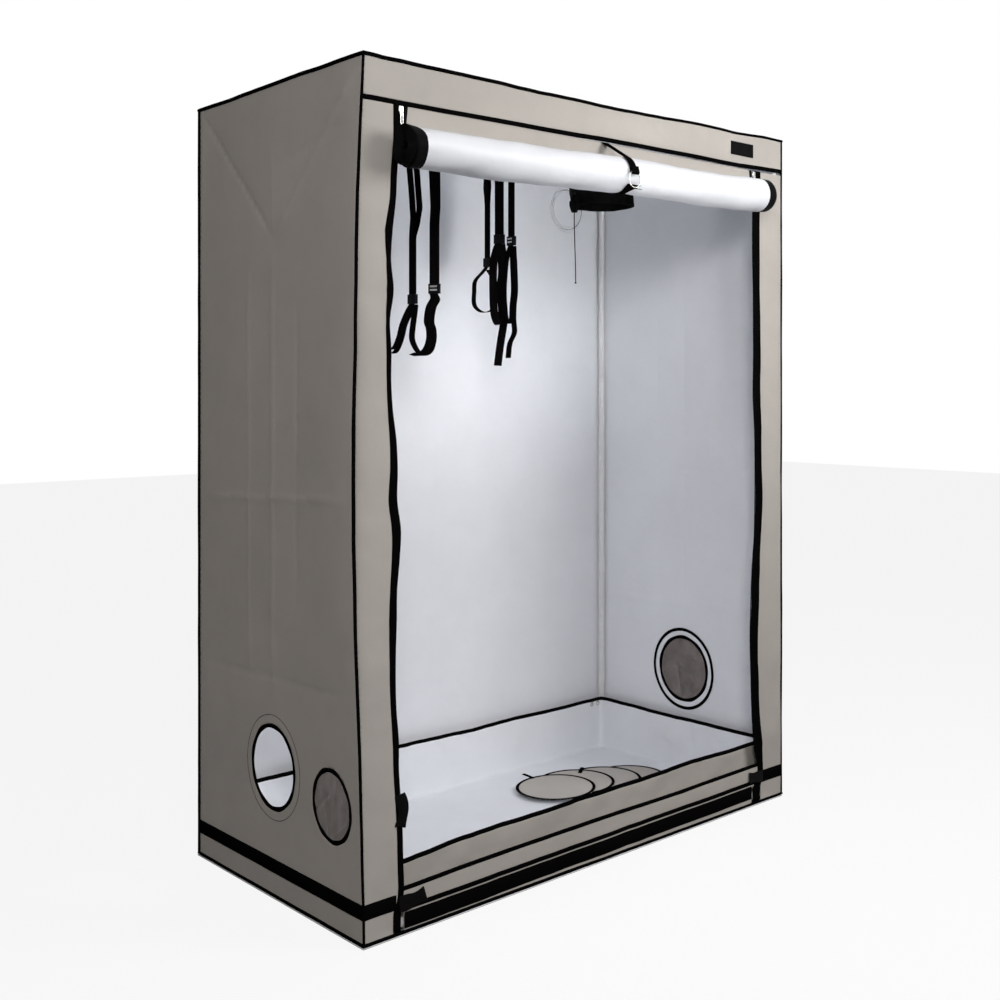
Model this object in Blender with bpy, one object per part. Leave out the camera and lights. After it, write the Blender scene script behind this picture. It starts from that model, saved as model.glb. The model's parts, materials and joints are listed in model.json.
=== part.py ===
"""Indoor grow tent: a steel tube frame in a reflective cover with a door rolled up in front.

Metres, +Z up. The origin is the centre of the footprint on the floor and the door faces -Y.
Every sub-part is an object of its own, and touching pieces keep one small gap between them.
"""
import math

import bmesh
import bpy
from mathutils import Matrix, Vector
from mathutils.geometry import tessellate_polygon

# Overall size of the cover
WIDTH = 1.5
DEPTH = 0.8
HEIGHT = 2.0

# Cloth, gaps and edge piping
CLOTH = 0.0015
GAP = 0.0003
RUN = 0.0005
PIPE_RADIUS = 0.0045
PIPE_SIDES = 8
ROUND_SIDES = 40

# Frame tubes and their three-way corner pieces
TUBE_RADIUS = 0.011
TUBE_WALL = 0.001
TUBE_SIDES = 16
BALL_LIP = 0.0035
STUB_LENGTH = 0.045
FOOT_RADIUS = 0.008

# Roof crossbars and the clips that hook them on the rails
BAR_RADIUS = 0.008
BAR_SHARES = (-0.4, 0.0)
CLIP_WALL = 0.0025
CLIP_WIDTH = 0.010
CLIP_TONGUE = 0.012
CLIP_REACH = 0.030
CLIP_ARC_START = -50.0
CLIP_ARC_END = 180.0

# Front: header, flanks, zips, sill
HEADER_DROP = 0.090
HEADER_BAND = 0.014
HEADER_THICK = 0.004
FLANK_LEFT = 0.082
FLANK_RIGHT = 0.112
TAPE_WIDTH = 0.020
COIL_RADIUS = 0.0016
SILL_HEIGHT = 0.118
SILL_EDGE = 0.008
SILL_SEAM_Z = 0.074
SILL_BAND_LOW = 0.028
SILL_BAND_HIGH = 0.064
BAND_LOW = 0.062
BAND_HIGH = 0.097
BAND_THICK = 0.0014

# Zip sliders and pull tabs
SLIDER_WIDTH = 0.012
SLIDER_DEPTH = 0.0076
SLIDER_HEIGHT = 0.020
SLIDER_TOP_ROOM = 0.003
ARCH_LENGTH = 0.0104
ARCH_RISE = 0.0042
ARCH_WALL = 0.0012
ARCH_WIDTH = 0.0024
TAB_WIDTH = 0.008
TAB_LENGTH = 0.030
TAB_THICK = 0.0016
EYE_WIDTH = 0.0044
EYE_LENGTH = 0.0065

# Rolled door, the straps that hold it and their ring
ROLL_RADIUS = 0.048
ROLL_DROP = 0.188
ROLL_STANDOFF = 0.0115
ROLL_PITCH = 0.004
ROLL_TURNS = 9
TURN_STEPS = 16
ROLL_END_LEFT = 0.040
ROLL_END_RIGHT = 0.045
STRAP_WIDTH = 0.025
STRAP_THICK = 0.0016
RING_RADIUS = 0.021
RING_WIRE = 0.0015
SEWN_END = 0.014

# Ports and their rings: the left and right walls carry a duct port each
PORT_Z = 0.320
PORT_Y = 0.005
PORT_RADIUS = 0.107
RIM_WIDTH = 0.009
RIM_THICK = 0.004
HOOK_RING_RADIUS = 0.129
HOOK_RING_WIDTH = 0.006
VENT_FROM_FRONT = 0.130
VENT_Z = 0.290
VENT_RADIUS = 0.088
MESH_THICK = 0.001
BACK_PORT_FROM_SIDE = 0.170
BACK_PORT_DROP = 0.140
BACK_PORT_RADIUS = 0.075
BACK_PORT_DEPTH = 0.006

# Duct sleeve in the roof, its tie and its drawcord
SLEEVE_FROM_SIDE = 0.300
SLEEVE_FROM_BACK = 0.310
SLEEVE_RADIUS = 0.100
SLEEVE_LENGTH = 0.170
SLEEVE_GATHER_SHARE = 0.035
SLEEVE_FOLDS = 9
SLEEVE_ROWS = 5
TIE_RADIUS = 0.014
TIE_LENGTH = 0.055
CORD_RADIUS = 0.0015
CORD_LENGTH = 0.215
CORD_DRIFT = 0.006
CORD_KNOT = 0.0035

# Spill tray and the vent covers that lie in it
TRAY_HEIGHT = 0.172
TRAY_WALL = 0.0015
TRAY_CLEAR = 0.001
BINDING_TALL = 0.009
BINDING_THICK = 0.001
COVER_RADIUS = 0.1225
COVER_BINDING = 0.005
COVER_THICK = 0.0016
COVER_EDGE = 0.003
COVER_TAB_WIDTH = 0.012
COVER_TAB_LENGTH = 0.022
COVER_X_SHARES = (0.36, 0.467, 0.587, 0.72)
COVER_Y_SHARES = (0.25, 0.25, 0.175, 0.10)
COVER_TAB_TURNS = (150.0, 60.0, 60.0, 60.0)

# Hanging straps and their slide buckles
STRAP_DROP = 0.644
LOOP_WIDTH = 0.085
STRANDS = 0.0022
LOOP_NECK = 0.020
TAIL_OUT = 0.0085
STRAP_BARS = (0, 0, 1, 1, 1)
STRAP_DEPTH_SHARES = (0.125, -0.125, 0.25, 0.1125, -0.025)
BUCKLE_DROP_SHARES = (0.752, 0.716, 0.559, 0.460, 0.475)
LOOP_DROP_SHARES = (0.980, 1.0, 0.784, 0.842, 0.845)
LOOP_WIDTH_SHARES = (0.94, 1.0, 0.88, 0.53, 0.53)
TAIL_DROP_SHARES = (0.0, 0.0, 0.0, 1.030, 0.997)
BUCKLE_WIDTH = 0.034
BUCKLE_HEIGHT = 0.026
BUCKLE_DEPTH = 0.011
BUCKLE_WALL = 0.0016
BUCKLE_BAR = 0.0022

# Places worked out from the sizes above
SIDE = WIDTH / 2
BACK = DEPTH / 2
HALF_CLOTH = CLOTH / 2
BALL_RADIUS = TUBE_RADIUS + BALL_LIP
TUBE_INSET = PIPE_RADIUS + HALF_CLOTH + GAP + BALL_RADIUS
WALL_X = SIDE - PIPE_RADIUS
WALL_Y = BACK - PIPE_RADIUS
FACE = -WALL_Y
ROOF_Z = HEIGHT - PIPE_RADIUS
BASE_RING_Z = CLOTH + GAP + PIPE_RADIUS
EDGE = 2 * PIPE_RADIUS + GAP
PANEL_X = SIDE - EDGE
PANEL_Y = BACK - EDGE
PANEL_LOW = BASE_RING_Z + PIPE_RADIUS + GAP
PANEL_HIGH = HEIGHT - EDGE
HEADER_Z = HEIGHT - HEADER_DROP
HEADER_LOW = HEADER_Z - HEADER_BAND / 2
FLANK_TOP = HEADER_LOW - GAP
TUBE_X = SIDE - TUBE_INSET
TUBE_Y = BACK - TUBE_INSET
RAIL_TOP = HEIGHT - TUBE_INSET
RAIL_LOW = BASE_RING_Z + TUBE_INSET - PIPE_RADIUS
ZIP_LEFT = -SIDE + FLANK_LEFT + TAPE_WIDTH
ZIP_RIGHT = SIDE - FLANK_RIGHT - TAPE_WIDTH
DOOR_LEFT = ZIP_LEFT + SLIDER_WIDTH / 2 + SLIDER_TOP_ROOM
DOOR_RIGHT = ZIP_RIGHT - SLIDER_WIDTH / 2 - SLIDER_TOP_ROOM
ROLL_Y = FACE - ROLL_STANDOFF - ROLL_RADIUS
ROLL_Z = HEIGHT - ROLL_DROP
VENT_Y = VENT_FROM_FRONT - BACK
BACK_PORT_X = SIDE - BACK_PORT_FROM_SIDE
BACK_PORT_Z = HEIGHT - BACK_PORT_DROP
SLEEVE_X = SIDE - SLEEVE_FROM_SIDE
SLEEVE_Y = BACK - SLEEVE_FROM_BACK
TRAY_X = TUBE_X - TUBE_RADIUS - TRAY_CLEAR
TRAY_Y = TUBE_Y - TUBE_RADIUS - TRAY_CLEAR
TRAY_LOW = CLOTH + GAP
TRAY_FLOOR = TRAY_LOW + TRAY_WALL

FINISHES = {
    "beige": ((0.50, 0.46, 0.41), 0.85, 0.0),
    "black": ((0.012, 0.012, 0.013), 0.75, 0.0),
    "white": ((0.74, 0.77, 0.80), 0.45, 0.0),
    "mesh": ((0.16, 0.14, 0.13), 0.70, 0.0),
    "steel": ((0.62, 0.62, 0.63), 0.30, 1.0),
    "powder_coat": ((0.80, 0.80, 0.80), 0.45, 0.0),
    "plastic": ((0.03, 0.03, 0.03), 0.50, 0.0),
}


def clear_scene():
    """Take every object out of the open scene."""
    for item in list(bpy.context.scene.objects):
        bpy.data.objects.remove(item, do_unlink=True)


def finish_of(name, finish):
    """A piece's own Principled material."""
    colour, roughness, metallic = FINISHES[finish]
    material = bpy.data.materials.new(name)
    material.use_nodes = True
    shader = material.node_tree.nodes["Principled BSDF"]
    shader.inputs["Base Color"].default_value = (*colour, 1.0)
    shader.inputs["Roughness"].default_value = roughness
    shader.inputs["Metallic"].default_value = metallic
    return material


def pivot_empty(name, place):
    """An empty on a joint's axis, which the moving piece hangs from."""
    empty = bpy.data.objects.new(name, None)
    empty.location = place
    bpy.context.collection.objects.link(empty)
    return empty


def make(name, finish, solids, smooth=True, pivot=None):
    """One named object out of closed solids, with its faces turned outward."""
    vertices, faces = [], []
    for points, polygons in solids:
        start = len(vertices)
        vertices += points
        faces += [[start + index for index in polygon] for polygon in polygons]
    if pivot is not None:
        vertices = [Vector(point) - Vector(pivot) for point in vertices]
    mesh = bpy.data.meshes.new(name)
    mesh.from_pydata([tuple(point) for point in vertices], [], faces)
    shape = bmesh.new()
    shape.from_mesh(mesh)
    bmesh.ops.recalc_face_normals(shape, faces=shape.faces)
    shape.to_mesh(mesh)
    shape.free()
    mesh.materials.append(finish_of(name, finish))
    if smooth:
        mesh.shade_smooth()
        mesh.set_sharp_from_angle(angle=math.radians(30.0))
    item = bpy.data.objects.new(name, mesh)
    bpy.context.collection.objects.link(item)
    if pivot is not None:
        item.parent = pivot_empty(name + "_pivot", pivot)
    return item


def in_space(axis, flat, along):
    """A point of a flat outline, placed at a distance along the axis it is drawn out on."""
    if axis == "X":
        return Vector((along, flat[0], flat[1]))
    if axis == "Y":
        return Vector((flat[0], along, flat[1]))
    return Vector((flat[0], flat[1], along))


def prism(axis, low, high, outline, holes=()):
    """A flat outline, with any holes, drawn out along one axis into a closed solid."""
    loops = [list(outline), *[list(hole) for hole in holes]]
    flat = [point for loop in loops for point in loop]
    count = len(flat)
    triangles = tessellate_polygon([[in_space("Z", point, 0.0) for point in loop] for loop in loops])
    points = [in_space(axis, point, low) for point in flat]
    points += [in_space(axis, point, high) for point in flat]
    faces = [tuple(reversed(triangle)) for triangle in triangles]
    faces += [tuple(index + count for index in triangle) for triangle in triangles]
    start = 0
    for loop in loops:
        size = len(loop)
        for index in range(size):
            here, after = start + index, start + (index + 1) % size
            faces.append((here, after, after + count, here + count))
        start += size
    return points, faces


def loft(rings, closed):
    """Rings of points joined one to the next, closed on themselves or capped at both ends."""
    size = len(rings[0])
    points = [Vector(point) for ring in rings for point in ring]
    faces = []
    for row in range(len(rings) if closed else len(rings) - 1):
        here, after = row * size, (row + 1) % len(rings) * size
        for index in range(size):
            step = (index + 1) % size
            faces.append((here + index, here + step, after + step, after + index))
    if not closed:
        faces.append(tuple(range(size)))
        faces.append(tuple(range(len(points) - size, len(points))))
    return points, faces


def rectangle(left, right, low, high):
    """The four corners of an upright rectangle."""
    return [(left, low), (right, low), (right, high), (left, high)]


def circle(centre, radius, sides=ROUND_SIDES):
    """A regular outline whose flats lie at the radius, with flats facing both axes."""
    outer = radius / math.cos(math.pi / sides)
    turns = [2 * math.pi * (index + 0.5) / sides for index in range(sides)]
    return [(centre[0] + outer * math.cos(turn), centre[1] + outer * math.sin(turn)) for turn in turns]


def arc(centre, radius, start, end, step=12.0):
    """Points along an arc, from one angle to another in degrees."""
    count = max(2, round(abs(end - start) / step) + 1)
    points = []
    for index in range(count):
        turn = math.radians(start + (end - start) * index / (count - 1))
        points.append((centre[0] + radius * math.cos(turn), centre[1] + radius * math.sin(turn)))
    return points


def tangent_angle(start, centre, radius, side):
    """Angle in degrees at which a straight run from a point meets a circle, on one side of it."""
    away = Vector(start) - Vector(centre)
    return math.degrees(math.atan2(away.y, away.x) + side * math.acos(radius / away.length))


def ribbon(path, thickness):
    """Closed outline of a strip of even thickness along a flat path, with mitred bends."""
    near, far = [], []
    for index, point in enumerate(path):
        here = Vector(point)
        runs = []
        if index > 0:
            runs.append((here - Vector(path[index - 1])).normalized())
        if index < len(path) - 1:
            runs.append((Vector(path[index + 1]) - here).normalized())
        along = sum(runs, Vector((0.0, 0.0))).normalized()
        across = Vector((-along.y, along.x)) * thickness / 2 / along.dot(runs[0])
        near.append(here + across)
        far.append(here - across)
    return [tuple(point) for point in near + far[::-1]]


def rectangle_loop(half_x, half_y, section):
    """A section of (outward, height) points led round a rectangle with mitred corners."""
    corners = ((1, 1), (-1, 1), (-1, -1), (1, -1))
    rings = []
    for way_x, way_y in corners:
        rings.append([(way_x * (half_x + out), way_y * (half_y + out), z) for out, z in section])
    return loft(rings, closed=True)


def ball(centre, radius):
    """A round ball of closed faces."""
    shape = bmesh.new()
    place = Matrix.Translation(centre)
    bmesh.ops.create_uvsphere(shape, u_segments=TUBE_SIDES, v_segments=8, radius=radius, matrix=place)
    points = [vertex.co.copy() for vertex in shape.verts]
    faces = [tuple(vertex.index for vertex in face.verts) for face in shape.faces]
    shape.free()
    return points, faces


def union(solids):
    """Overlapping solids made one by exact unions."""
    pieces = [make("union_piece", "plastic", [solid], smooth=False) for solid in solids]
    base = pieces[0]
    for piece in pieces[1:]:
        joined = base.modifiers.new("join", "BOOLEAN")
        joined.operation = "UNION"
        joined.object = piece
    graph = bpy.context.evaluated_depsgraph_get()
    whole = base.evaluated_get(graph).to_mesh()
    points = [vertex.co.copy() for vertex in whole.vertices]
    faces = [tuple(polygon.vertices) for polygon in whole.polygons]
    for piece in pieces:
        bpy.data.objects.remove(piece, do_unlink=True)
    return points, faces


def tube(axis, low, high, centre, radius, wall):
    """A round tube along one axis."""
    bore = circle(centre, radius - wall, TUBE_SIDES)
    return prism(axis, low, high, circle(centre, radius, TUBE_SIDES), [bore])


def post(name, way_x, way_y):
    """A corner post with a ball at both ends, stubs for its rails and a foot below."""
    stub = TUBE_RADIUS - TUBE_WALL - GAP
    x, y = way_x * TUBE_X, way_y * TUBE_Y
    solids = [prism("Z", RAIL_LOW, RAIL_TOP, circle((x, y), TUBE_RADIUS, TUBE_SIDES))]
    for height in (RAIL_LOW, RAIL_TOP):
        solids.append(ball((x, y, height), BALL_RADIUS))
        low, high = sorted((x, x - way_x * STUB_LENGTH))
        solids.append(prism("X", low, high, circle((y, height), stub, TUBE_SIDES)))
        low, high = sorted((y, y - way_y * STUB_LENGTH))
        solids.append(prism("Y", low, high, circle((x, height), stub, TUBE_SIDES)))
    solids.append(prism("Z", CLOTH + GAP, RAIL_LOW, circle((x, y), FOOT_RADIUS, TUBE_SIDES)))
    make(name, "powder_coat", [union(solids)])


def frame_tubes():
    """Four posts with their corner pieces, and eight rails that seat on the corner balls."""
    seat = BALL_RADIUS + GAP
    for depth, way_y in (("front", -1), ("back", 1)):
        for side, way_x in (("left", -1), ("right", 1)):
            post(f"post_{depth}_{side}", way_x, way_y)
    for level, height in (("low", RAIL_LOW), ("top", RAIL_TOP)):
        for depth, way_y in (("front", -1), ("back", 1)):
            centre = (way_y * TUBE_Y, height)
            rail = tube("X", seat - TUBE_X, TUBE_X - seat, centre, TUBE_RADIUS, TUBE_WALL)
            make(f"rail_{level}_{depth}", "powder_coat", [rail])
        for side, way_x in (("left", -1), ("right", 1)):
            centre = (way_x * TUBE_X, height)
            rail = tube("Y", seat - TUBE_Y, TUBE_Y - seat, centre, TUBE_RADIUS, TUBE_WALL)
            make(f"rail_{level}_{side}", "powder_coat", [rail])


def clip_outline():
    """A hook over a rail at the origin, with a tongue towards +Y for the crossbar's bore."""
    inner = TUBE_RADIUS + GAP
    outer = inner + CLIP_WALL
    half = CLIP_TONGUE / 2
    hook = arc((0.0, 0.0), outer, CLIP_ARC_END, math.degrees(math.asin(half / outer)))
    tongue = [(CLIP_REACH, half), (CLIP_REACH, -half)]
    below = arc((0.0, 0.0), outer, -math.degrees(math.asin(half / outer)), CLIP_ARC_START)
    return hook + tongue + below + arc((0.0, 0.0), inner, CLIP_ARC_START, CLIP_ARC_END)


def crossbars():
    """Bars from the front rail to the back rail, each with a hook clip plugged into both ends."""
    seat = TUBE_Y - TUBE_RADIUS - GAP - CLIP_WALL - GAP
    for index, share in enumerate(BAR_SHARES):
        place = share * SIDE
        bar = tube("Y", -seat, seat, (place, RAIL_TOP), BAR_RADIUS, TUBE_WALL)
        low, high = place - CLIP_WIDTH / 2, place + CLIP_WIDTH / 2
        front = [(y - TUBE_Y, z + RAIL_TOP) for y, z in clip_outline()]
        back = [(TUBE_Y - y, z + RAIL_TOP) for y, z in clip_outline()]
        clips = [prism("X", low, high, front), prism("X", low, high, back)]
        make(f"crossbar_{index + 1}", "powder_coat", [union([bar, *clips])])


def pipe_section(out, height):
    """Round section of the edge piping, about a point."""
    return circle((out, height), PIPE_RADIUS, PIPE_SIDES)


def edge_piping():
    """Piping on every edge of the cover and the band under the header, sewn into one."""
    solids = [
        rectangle_loop(WALL_X, WALL_Y, pipe_section(0.0, ROOF_Z)),
        rectangle_loop(WALL_X, WALL_Y, pipe_section(0.0, BASE_RING_Z)),
    ]
    for way_x in (-1, 1):
        for way_y in (-1, 1):
            section = circle((way_x * WALL_X, way_y * WALL_Y), PIPE_RADIUS, PIPE_SIDES)
            solids.append(prism("Z", BASE_RING_Z, ROOF_Z, section))
    half = HEADER_THICK / 2
    band = rectangle(-WALL_X, WALL_X, HEADER_LOW, HEADER_LOW + HEADER_BAND)
    solids.append(prism("Y", FACE - half, FACE + half, band))
    make("edge_piping", "black", [union(solids)])


def base_band():
    """Webbing round the foot of the sides and the back, and over both flanks to the zips."""
    out_x = SIDE + GAP + BAND_THICK / 2
    out_y = BACK + GAP + BAND_THICK / 2
    path = [(FLANK_LEFT - SIDE, -out_y), (-out_x, -out_y), (-out_x, out_y)]
    path += [(out_x, out_y), (out_x, -out_y), (SIDE - FLANK_RIGHT, -out_y)]
    make("base_band", "black", [prism("Z", BAND_LOW, BAND_HIGH, ribbon(path, BAND_THICK))])


def sill():
    """The strip below the door: its webbing, its raised seam and its bound top edge."""
    near, far = FACE - HALF_CLOTH, FACE + HALF_CLOTH
    proud = near - BAND_THICK
    half = HEADER_THICK / 2
    bound = SILL_HEIGHT - SILL_EDGE
    section = [(far, PANEL_LOW), (near, PANEL_LOW)]
    for low, high in ((SILL_BAND_LOW, SILL_BAND_HIGH),
                      (SILL_SEAM_Z - SILL_EDGE / 2, SILL_SEAM_Z + SILL_EDGE / 2)):
        section += [(near, low), (proud, low), (proud, high), (near, high)]
    section += [(near, bound), (FACE - half, bound), (FACE - half, SILL_HEIGHT)]
    section += [(FACE + half, SILL_HEIGHT), (FACE + half, bound), (far, bound)]
    make("sill", "beige", [prism("X", DOOR_LEFT, DOOR_RIGHT, section)], smooth=False)


def walls():
    """Side walls with their ports, the back wall, the roof and the floor sheet."""
    side = rectangle(-PANEL_Y, PANEL_Y, PANEL_LOW, PANEL_HIGH)
    port = circle((PORT_Y, PORT_Z), PORT_RADIUS + GAP)
    vent = circle((VENT_Y, VENT_Z), VENT_RADIUS + GAP)
    left = prism("X", -WALL_X - HALF_CLOTH, HALF_CLOTH - WALL_X, side, [port, vent])
    make("wall_left", "beige", [left], smooth=False)
    right = prism("X", WALL_X - HALF_CLOTH, WALL_X + HALF_CLOTH, side, [port])
    make("wall_right", "beige", [right], smooth=False)
    back = rectangle(-PANEL_X, PANEL_X, PANEL_LOW, PANEL_HIGH)
    hole = circle((BACK_PORT_X, BACK_PORT_Z), BACK_PORT_RADIUS + GAP)
    rear = prism("Y", WALL_Y - HALF_CLOTH, WALL_Y + HALF_CLOTH, back, [hole])
    make("wall_back", "beige", [rear], smooth=False)
    flat = rectangle(-PANEL_X, PANEL_X, -PANEL_Y, PANEL_Y)
    duct = circle((SLEEVE_X, SLEEVE_Y), SLEEVE_RADIUS + GAP)
    roof = prism("Z", ROOF_Z - HALF_CLOTH, ROOF_Z + HALF_CLOTH, flat, [duct])
    make("roof", "beige", [roof], smooth=False)
    floor = prism("Z", 0.0, CLOTH, rectangle(-SIDE, SIDE, -BACK, BACK))
    make("floor_sheet", "black", [floor], smooth=False)


def front_panels():
    """Header and both flanks."""
    near, far = FACE - HALF_CLOTH, FACE + HALF_CLOTH
    top = rectangle(-PANEL_X, PANEL_X, HEADER_LOW + HEADER_BAND + GAP, PANEL_HIGH)
    make("header", "beige", [prism("Y", near, far, top)], smooth=False)
    left = rectangle(-PANEL_X, FLANK_LEFT - SIDE, PANEL_LOW, FLANK_TOP)
    make("flank_left", "beige", [prism("Y", near, far, left)], smooth=False)
    right = rectangle(SIDE - FLANK_RIGHT, PANEL_X, PANEL_LOW, FLANK_TOP)
    make("flank_right", "beige", [prism("Y", near, far, right)], smooth=False)


def zip_tape(name, place, edge):
    """A tape on a flank's edge, with the zip's coil as a round bead along it."""
    lean = math.degrees(math.asin(HALF_CLOTH / COIL_RADIUS))
    way = math.copysign(1.0, place - edge)
    bead = arc((0.0, 0.0), COIL_RADIUS, lean - 180.0, 180.0 - lean, step=30.0)
    section = [(edge, FACE + HALF_CLOTH), (edge, FACE - HALF_CLOTH)]
    section += [(place + way * x, FACE + y) for x, y in bead]
    make(name, "black", [prism("Z", PANEL_LOW, FLANK_TOP, section)])


def slider_section(way):
    """Keyhole section of a slider: the coil runs in the hole and the tape in the slot."""
    half, deep = SLIDER_WIDTH / 2, SLIDER_DEPTH / 2
    hole, slot = COIL_RADIUS + RUN, HALF_CLOTH + RUN
    lean = math.degrees(math.asin(slot / hole))
    mouth = arc((0.0, 0.0), hole, 180.0 - lean, lean - 180.0, step=30.0)
    shape = [(-half, -deep), (half, -deep), (half, deep), (-half, deep), (-half, slot)]
    shape += mouth + [(-half, -slot)]
    return [(way * x, y) for x, y in shape]


def slider_z():
    """Height of a closed slider's middle, just under the header."""
    return FLANK_TOP - SLIDER_TOP_ROOM - SLIDER_HEIGHT / 2


def tab_pivot(place):
    """Axis of a pull tab, where its top bar lies under the slider's arch."""
    front = FACE - SLIDER_DEPTH / 2
    drop = ARCH_LENGTH / 2 - ARCH_WALL - TAB_THICK / 2 - RUN
    return (place, front - (ARCH_RISE - ARCH_WALL) / 2, slider_z() - drop)


def zip_slider(name, place, way):
    """A slider on one zip: a keyhole body with an arch that traps the pull tab."""
    middle, front = slider_z(), FACE - SLIDER_DEPTH / 2
    section = [(place + x, FACE + y) for x, y in slider_section(way)]
    body = prism("Z", middle - SLIDER_HEIGHT / 2, middle + SLIDER_HEIGHT / 2, section)
    half, root = ARCH_LENGTH / 2, front + ARCH_WALL
    outline = [(root, middle - half), (front - ARCH_RISE, middle - half)]
    outline += [(front - ARCH_RISE, middle + half), (root, middle + half)]
    inner, top = half - ARCH_WALL, front - ARCH_RISE + ARCH_WALL
    outline += [(root, middle + inner), (top, middle + inner)]
    outline += [(top, middle - inner), (root, middle - inner)]
    arch = prism("X", place - ARCH_WIDTH / 2, place + ARCH_WIDTH / 2, outline)
    make(name, "steel", [union([body, arch])], smooth=False, pivot=(place, FACE, middle))


def pull_tab(name, place):
    """A flat tab with an eye round the slider's arch, hung from its top bar."""
    pivot = tab_pivot(place)
    half, bar = TAB_WIDTH / 2, TAB_THICK / 2
    low = bar - TAB_LENGTH
    round_end = arc((0.0, low + half), half, 180.0, 360.0, step=30.0)
    outline = [(half, bar), (-half, bar)] + round_end
    eye = rectangle(-EYE_WIDTH / 2, EYE_WIDTH / 2, -bar - EYE_LENGTH, -bar)
    plate = prism("Y", pivot[1] - bar, pivot[1] + bar,
                  [(place + x, pivot[2] + z) for x, z in outline],
                  [[(place + x, pivot[2] + z) for x, z in eye]])
    make(name, "steel", [plate], smooth=False, pivot=pivot)


def zips():
    """Both zips with a slider and a pull tab each."""
    zip_tape("zip_tape_left", ZIP_LEFT, FLANK_LEFT - SIDE + GAP)
    zip_tape("zip_tape_right", ZIP_RIGHT, SIDE - FLANK_RIGHT - GAP)
    for side, place, way in (("left", ZIP_LEFT, 1), ("right", ZIP_RIGHT, -1)):
        zip_slider(f"zip_slider_{side}", place, way)
        pull_tab(f"pull_tab_{side}", place)


def door_path(hanging):
    """Middle line of the rolled door: down from the header, then wound inward under the roll."""
    centre = (ROLL_Y, ROLL_Z)
    outer = ROLL_RADIUS - HALF_CLOTH
    top = (FACE, FLANK_TOP)
    start = tangent_angle(top, centre, outer, -1)
    points = [top] if hanging else []
    count = ROLL_TURNS * TURN_STEPS
    for index in range(count + 1):
        radius = outer - ROLL_PITCH * index / TURN_STEPS
        turn = math.radians(start - 360.0 * index / TURN_STEPS)
        points.append((centre[0] + radius * math.cos(turn), centre[1] + radius * math.sin(turn)))
    return points


def print_roll_facts():
    """Print the door's wound length and the least clear gap between its turns."""
    path = [Vector(point) for point in door_path(hanging=True)]
    length = sum((after - here).length for here, after in zip(path, path[1:]))
    apart = TURN_STEPS // 2
    pairs = ((path[i], path[k]) for i in range(1, len(path)) for k in range(i + apart, len(path)))
    least = min((one - other).length for one, other in pairs) - CLOTH
    print(f"door cloth length {length:.3f} m, least gap between turns {least * 1000:.2f} mm")


def door():
    """The door, hung from the header and wound on itself past both of its zips."""
    hung = prism("X", DOOR_LEFT, DOOR_RIGHT, ribbon(door_path(hanging=True), CLOTH))
    wound = ribbon(door_path(hanging=False), CLOTH)
    left = prism("X", DOOR_LEFT - ROLL_END_LEFT, DOOR_LEFT + STRAP_WIDTH, wound)
    right = prism("X", DOOR_RIGHT - STRAP_WIDTH, DOOR_RIGHT + ROLL_END_RIGHT, wound)
    make("door_cloth", "white", [union([hung, left, right])])
    print_roll_facts()


def ring_grip():
    """Radius of a strap's end loop round the ring's wire, and its distance from the ring's centre."""
    outer = RING_RADIUS + RING_WIRE
    inner = math.sqrt((RING_RADIUS - RING_WIRE) ** 2 - (STRAP_WIDTH / 2) ** 2)
    return (outer - inner) / 2 + RUN + STRAP_THICK / 2, (outer + inner) / 2


def ring_place():
    """Centre of the roll strap's ring, in front of the roll."""
    grip, reach = ring_grip()
    strap = ROLL_RADIUS + GAP + STRAP_THICK / 2
    return (0.0, ROLL_Y - strap - grip, ROLL_Z - reach)


def roll_straps():
    """The strap over the roll to the ring, and the one from behind the door under the roll."""
    centre = (ROLL_Y, ROLL_Z)
    lie = ROLL_RADIUS + GAP + STRAP_THICK / 2
    grip, offset = ring_grip()
    ring_y, ring_z = ring_place()[1:]
    beside = HALF_CLOTH + GAP + STRAP_THICK / 2
    top = (FACE - beside, FLANK_TOP)
    eye = (ring_y, ring_z + offset)
    path = [top] + arc(centre, lie, tangent_angle(top, centre, lie, 1), 180.0)
    path += arc(eye, grip, 0.0, -205.0, step=20.0)[1:]
    path.append(straight_on(path, SEWN_END))
    upper = prism("X", -STRAP_WIDTH / 2, STRAP_WIDTH / 2, ribbon(path, STRAP_THICK))
    make("roll_strap_upper", "black", [upper])
    behind = (FACE + beside, FLANK_TOP)
    eye = (ring_y, ring_z - offset)
    reach = Vector(eye) - Vector(centre)
    leave = math.degrees(math.atan2(reach.y, reach.x) + math.acos((lie + grip) / reach.length))
    path = [behind] + arc(centre, lie, tangent_angle(behind, centre, lie, -1), leave)
    path += arc(eye, grip, leave + 180.0, 275.0, step=20.0)
    path.append(straight_on(path, SEWN_END))
    lower = prism("X", -STRAP_WIDTH / 2, STRAP_WIDTH / 2, ribbon(path, STRAP_THICK))
    make("roll_strap_lower", "black", [lower])


def straight_on(path, length):
    """The point that carries a path straight on from its end."""
    last, before = Vector(path[-1]), Vector(path[-2])
    return tuple(last + (last - before).normalized() * length)


def strap_ring():
    """The wire ring that both roll straps are sewn round."""
    centre = ring_place()
    rings = []
    for index in range(32):
        turn = 2 * math.pi * index / 32
        ring = []
        for out, along in circle((RING_RADIUS, 0.0), RING_WIRE, 8):
            ring.append((centre[0] + out * math.cos(turn), centre[1] + along,
                         centre[2] + out * math.sin(turn)))
        rings.append(ring)
    make("strap_ring", "steel", [loft(rings, closed=True)], pivot=centre)


def ring_plate(axis, low, high, centre, outer, inner):
    """A flat ring across one axis."""
    return prism(axis, low, high, circle(centre, outer), [circle(centre, inner)])


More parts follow.
